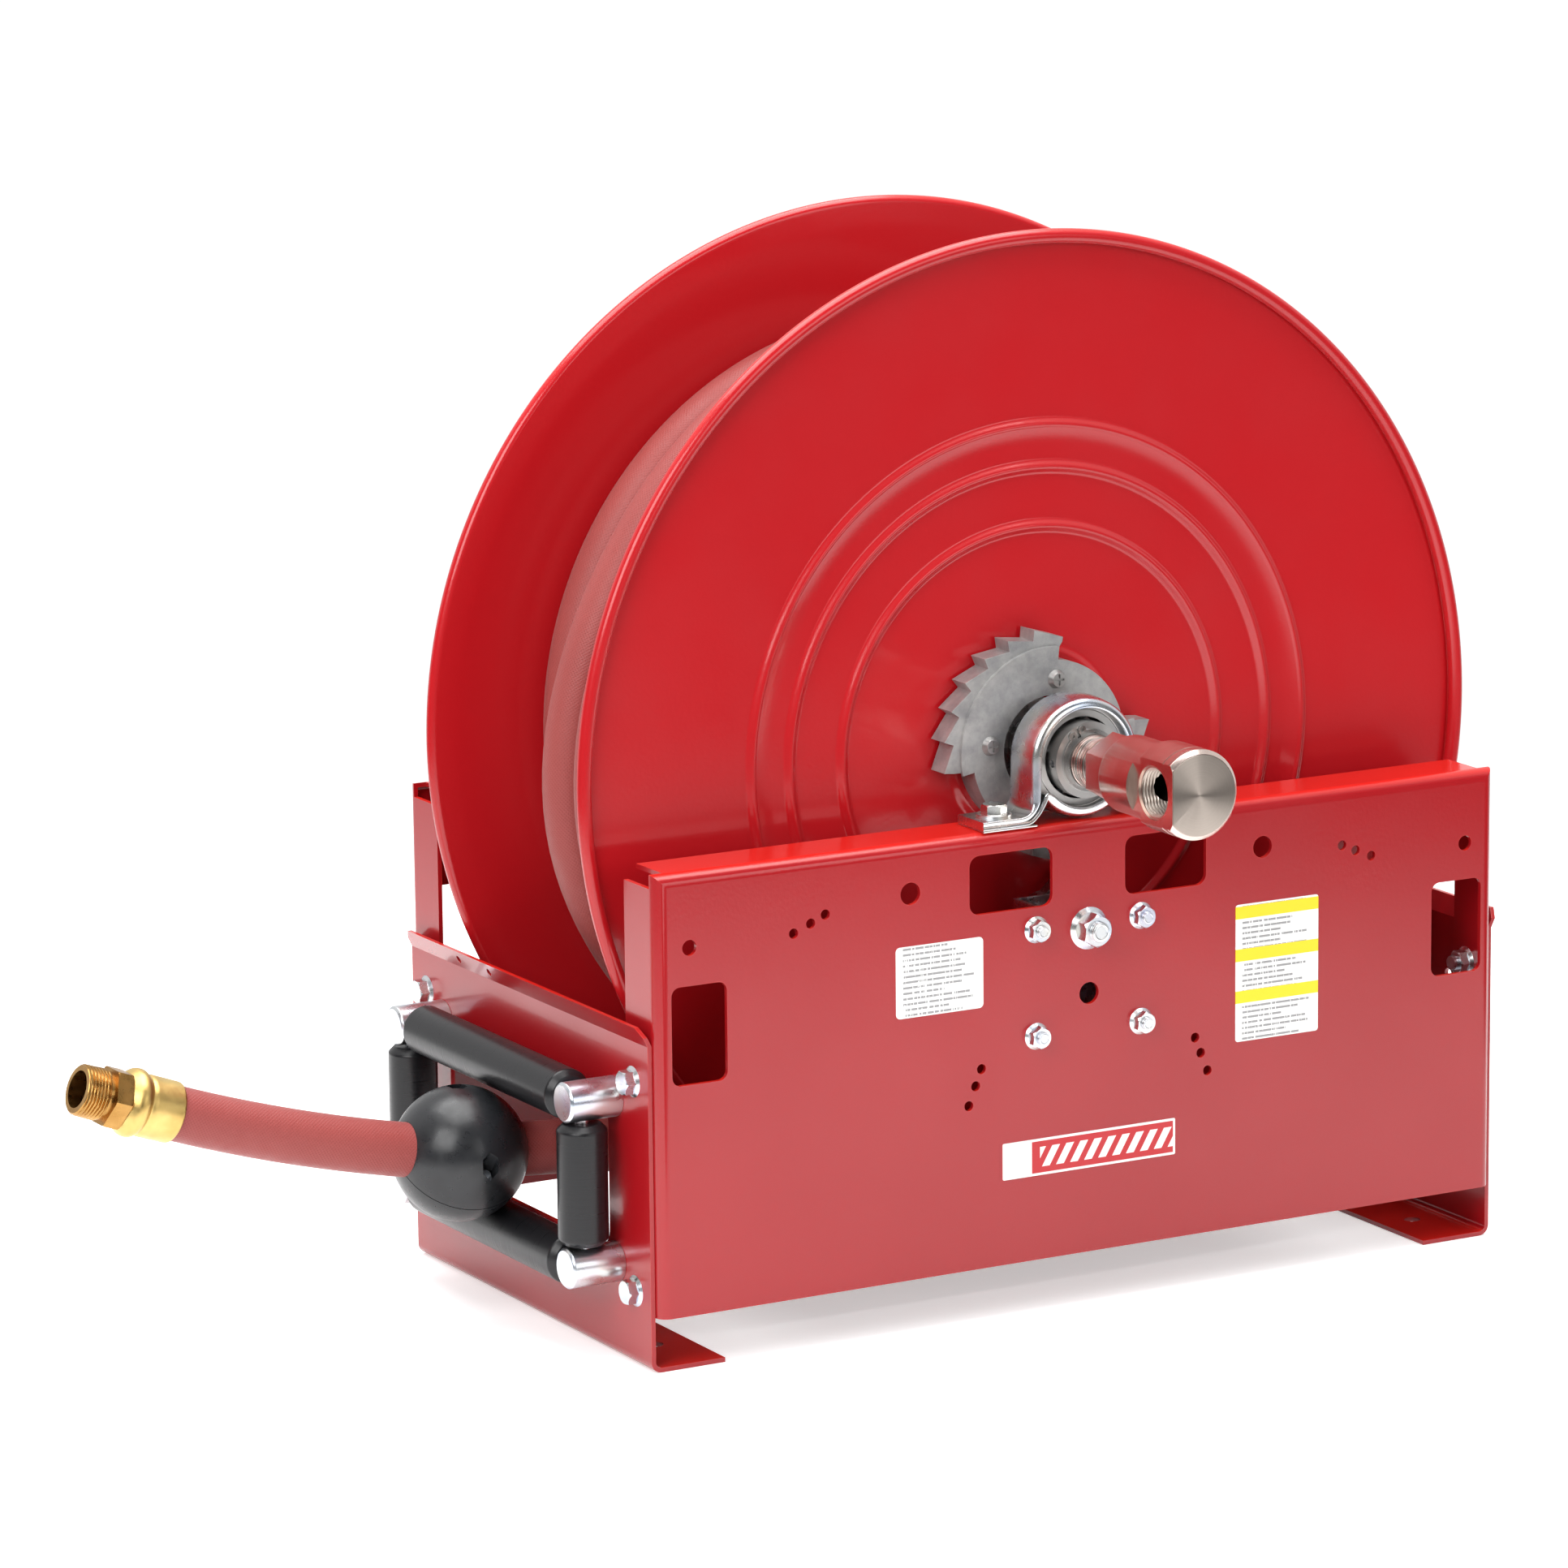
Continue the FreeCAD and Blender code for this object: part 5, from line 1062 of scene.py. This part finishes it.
def face_metal(name):
    """A faced end: fine rings about its middle and a bow-tie shine."""
    s = Shader(name)
    rings = s.tree.nodes.new("ShaderNodeTexNoise")
    rings.noise_dimensions = "1D"
    s.feed(rings.inputs["W"], s.from_shaft())
    rings.inputs["Scale"].default_value = 2600
    rings.inputs["Detail"].default_value = 3
    s.set(Base_Color=s.mix(rings.outputs["Fac"], colour(204, 192, 182), colour(178, 166, 156)))
    s.set(Metallic=1.0, Roughness=0.3, Anisotropic=0.85, Anisotropic_Rotation=0.25,
          Tangent=s.around())
    s.bump(rings.outputs["Fac"], 0.00003, 0.5)
    return s.material


def make_swivel():
    end = lathe("swivel", swivel_profile(), Vector((HUB.x, BODY_LOW.y, HUB.z)), Y_AXIS, 144)
    flat, way = flat_cutter(), way_cutter()
    port = cylinder("cut_port", (FLAT_X - 2 * MM, PORT.y, HUB.z), X_AXIS,
                    [(PORT_R + 1.9 * MM, 0), (PORT_R + 0.2 * MM, 1.7 * MM),
                     (PORT_R + 0.2 * MM, 22 * MM)])
    carve(end, (flat, port, way))
    dress(end, NICKEL, "swivel", ("swivel_body",))
    inside = thread("port_thread", Vector((FLAT_X + 1.1 * MM, PORT.y, HUB.z)), X_AXIS,
                    PORT_R - 0.1 * MM, 18.7 * MM, 2.2 * MM, 0.05, 1.015)
    carve(inside, (way,))
    dress(inside, PORT_STEEL, "swivel")
    face_r = BODY_R - CHAMFER - 0.5 * MM
    cap = lathe("swivel_face", rounded([(0.0, 0.2 * MM, 0), (face_r, 0.2 * MM, 0.1 * MM),
                                        (face_r, -0.5 * MM, 0), (0.0, -0.5 * MM, 0)]),
                Vector((HUB.x, BODY_LOW.y, HUB.z)), -Y_AXIS, 144)
    inset = block("cut_face", (HUB.x - CLEAR, BODY_LOW.y - 20 * MM, HUB.z - CLEAR),
                  (FLAT_X + 0.6 * MM, BODY_LOW.y + 20 * MM, HUB.z + CLEAR))
    carve(cap, (inset,))
    dress(cap, face_metal("swivel_faced"), "swivel")
    for cutter in (flat, way, port, inset):
        bpy.data.objects.remove(cutter)


make_swivel()
HEX_BACK = BODY_HIGH.y + 23.0 * MM
SHAFT_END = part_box("main_shaft")[0].y
stem_threads = thread("stem_threads", Vector((HUB.x, HEX_BACK - 0.5 * MM, HUB.z)), Y_AXIS,
                      17.4 * MM, SHAFT_END - HEX_BACK + 0.4 * MM, 2.8 * MM, 0.0, 0.85)
dress(stem_threads, THREAD_STEEL, "drum")


# --- stage --------------------------------------------------------------------------
AZIMUTH = 29.1003
ELEVATION = 11.7258
ROLL = -0.591
DISTANCE = 4.504
AIM_RIGHT = -0.0053
AIM_UP = -0.0051
LENS = 162.64
FLOOR_GLOW = 0.45
AMBIENT = 0.56


def camera_axes():
    az, el = math.radians(AZIMUTH), math.radians(ELEVATION)
    look = Vector((math.sin(az) * math.cos(el), math.cos(az) * math.cos(el), -math.sin(el)))
    right = look.cross(Z_AXIS).normalized()
    up = right.cross(look)
    roll = math.radians(ROLL)
    return look, right * math.cos(roll) + up * math.sin(roll), up * math.cos(roll) - right * math.sin(roll)


def add_camera():
    look, right, up = camera_axes()
    low, high = Vector(cad_bounds[0]), Vector(cad_bounds[1])
    aim = (low + high) / 2 + right * AIM_RIGHT + up * AIM_UP
    camera = bpy.data.objects.new("camera", bpy.data.cameras.new("camera"))
    bpy.context.scene.collection.objects.link(camera)
    turn = Matrix((right, up, -look)).transposed().to_4x4()
    camera.matrix_world = Matrix.Translation(aim - look * DISTANCE) @ turn
    camera.data.sensor_width = 36.0
    camera.data.lens = LENS
    bpy.context.scene.camera = camera


def softbox(name, place, target, size, power):
    light = bpy.data.lights.new(name, "AREA")
    light.shape = "RECTANGLE"
    light.size, light.size_y = size
    light.energy = power
    lamp = bpy.data.objects.new(name, light)
    bpy.context.scene.collection.objects.link(lamp)
    lamp.location = place
    lamp.rotation_euler = (Vector(target) - Vector(place)).to_track_quat("-Z", "Y").to_euler()


def add_floor():
    """A pale floor that fades into the white backdrop away from the object."""
    s = Shader("floor_white")
    grain = s.spread(s.noise(6, 3), 0.97, 1.0)
    tone = s.mix(grain, (0.86, 0.86, 0.86, 1), (0.9, 0.9, 0.9, 1))
    s.set(Base_Color=tone, Roughness=0.7, Specular_IOR_Level=0.2)
    s.set(Alpha=s.spread(s.vector("LENGTH", s.place), 1.0, 0.0, 1.05, 1.75))
    path = s.tree.nodes.new("ShaderNodeLightPath")
    seen = s.math("MAXIMUM", path.outputs["Is Camera Ray"], path.outputs["Is Glossy Ray"])
    s.set(Emission_Color=(1, 1, 1, 1), Emission_Strength=s.math("MULTIPLY", seen, FLOOR_GLOW))
    size = 1.8
    corners = [(-size, -size, 0), (size, -size, 0), (size, size, 0), (-size, size, 0)]
    mesh = bpy.data.meshes.new("floor")
    mesh.from_pydata(corners, [], [(0, 1, 2, 3)])
    floor = bpy.data.objects.new("floor", mesh)
    bpy.context.scene.collection.objects.link(floor)
    floor.data.materials.append(s.material)
    floor.location.z = -0.0002


def add_world():
    """White backdrop for the camera; reflections see white behind and a dim room in front."""
    world = bpy.data.worlds.new("studio")
    bpy.context.scene.world = world
    world.use_nodes = True
    tree = world.node_tree
    tree.nodes.clear()
    out = tree.nodes.new("ShaderNodeOutputWorld")
    seen, room = tree.nodes.new("ShaderNodeBackground"), tree.nodes.new("ShaderNodeBackground")
    seen.inputs["Color"].default_value = (1.0, 1.0, 1.0, 1)
    seen.inputs["Strength"].default_value = 1.05
    place = tree.nodes.new("ShaderNodeTexCoord")
    look = camera_axes()[0]
    dot = tree.nodes.new("ShaderNodeVectorMath")
    dot.operation = "DOT_PRODUCT"
    tree.links.new(place.outputs["Generated"], dot.inputs[0])
    dot.inputs[1].default_value = (look.x, look.y, 0.55)
    ramp = tree.nodes.new("ShaderNodeValToRGB")
    tree.links.new(dot.outputs["Value"], ramp.inputs[0])
    ramp.color_ramp.elements[0].position = 0.0
    ramp.color_ramp.elements[0].color = (0.1, 0.1, 0.1, 1)
    ramp.color_ramp.elements[1].position = 0.35
    ramp.color_ramp.elements[1].color = (1, 1, 1, 1)
    tree.links.new(ramp.outputs[0], room.inputs["Color"])
    room.inputs["Strength"].default_value = 0.9
    even = tree.nodes.new("ShaderNodeBackground")
    even.inputs["Color"].default_value = (1.0, 1.0, 1.0, 1)
    even.inputs["Strength"].default_value = AMBIENT
    path = tree.nodes.new("ShaderNodeLightPath")
    for share, other in (("Is Glossy Ray", room), ("Is Camera Ray", seen)):
        mix = tree.nodes.new("ShaderNodeMixShader")
        tree.links.new(path.outputs[share], mix.inputs[0])
        tree.links.new(even.outputs[0], mix.inputs[1])
        tree.links.new(other.outputs[0], mix.inputs[2])
        even = mix
    tree.links.new(even.outputs[0], out.inputs[0])


add_camera()
add_world()
add_floor()
softbox("key", (-2.7, -1.6, 2.2), (0, 0, 0.35), (2.0, 2.0), 78)
softbox("fill", (0.9, -3.6, 1.5), (0, 0, 0.3), (2.2, 1.6), 26)
softbox("top", (0, 0.2, 3.0), (0, 0, 0.3), (3.0, 3.0), 140)
bpy.context.scene.view_settings.view_transform = "Standard"
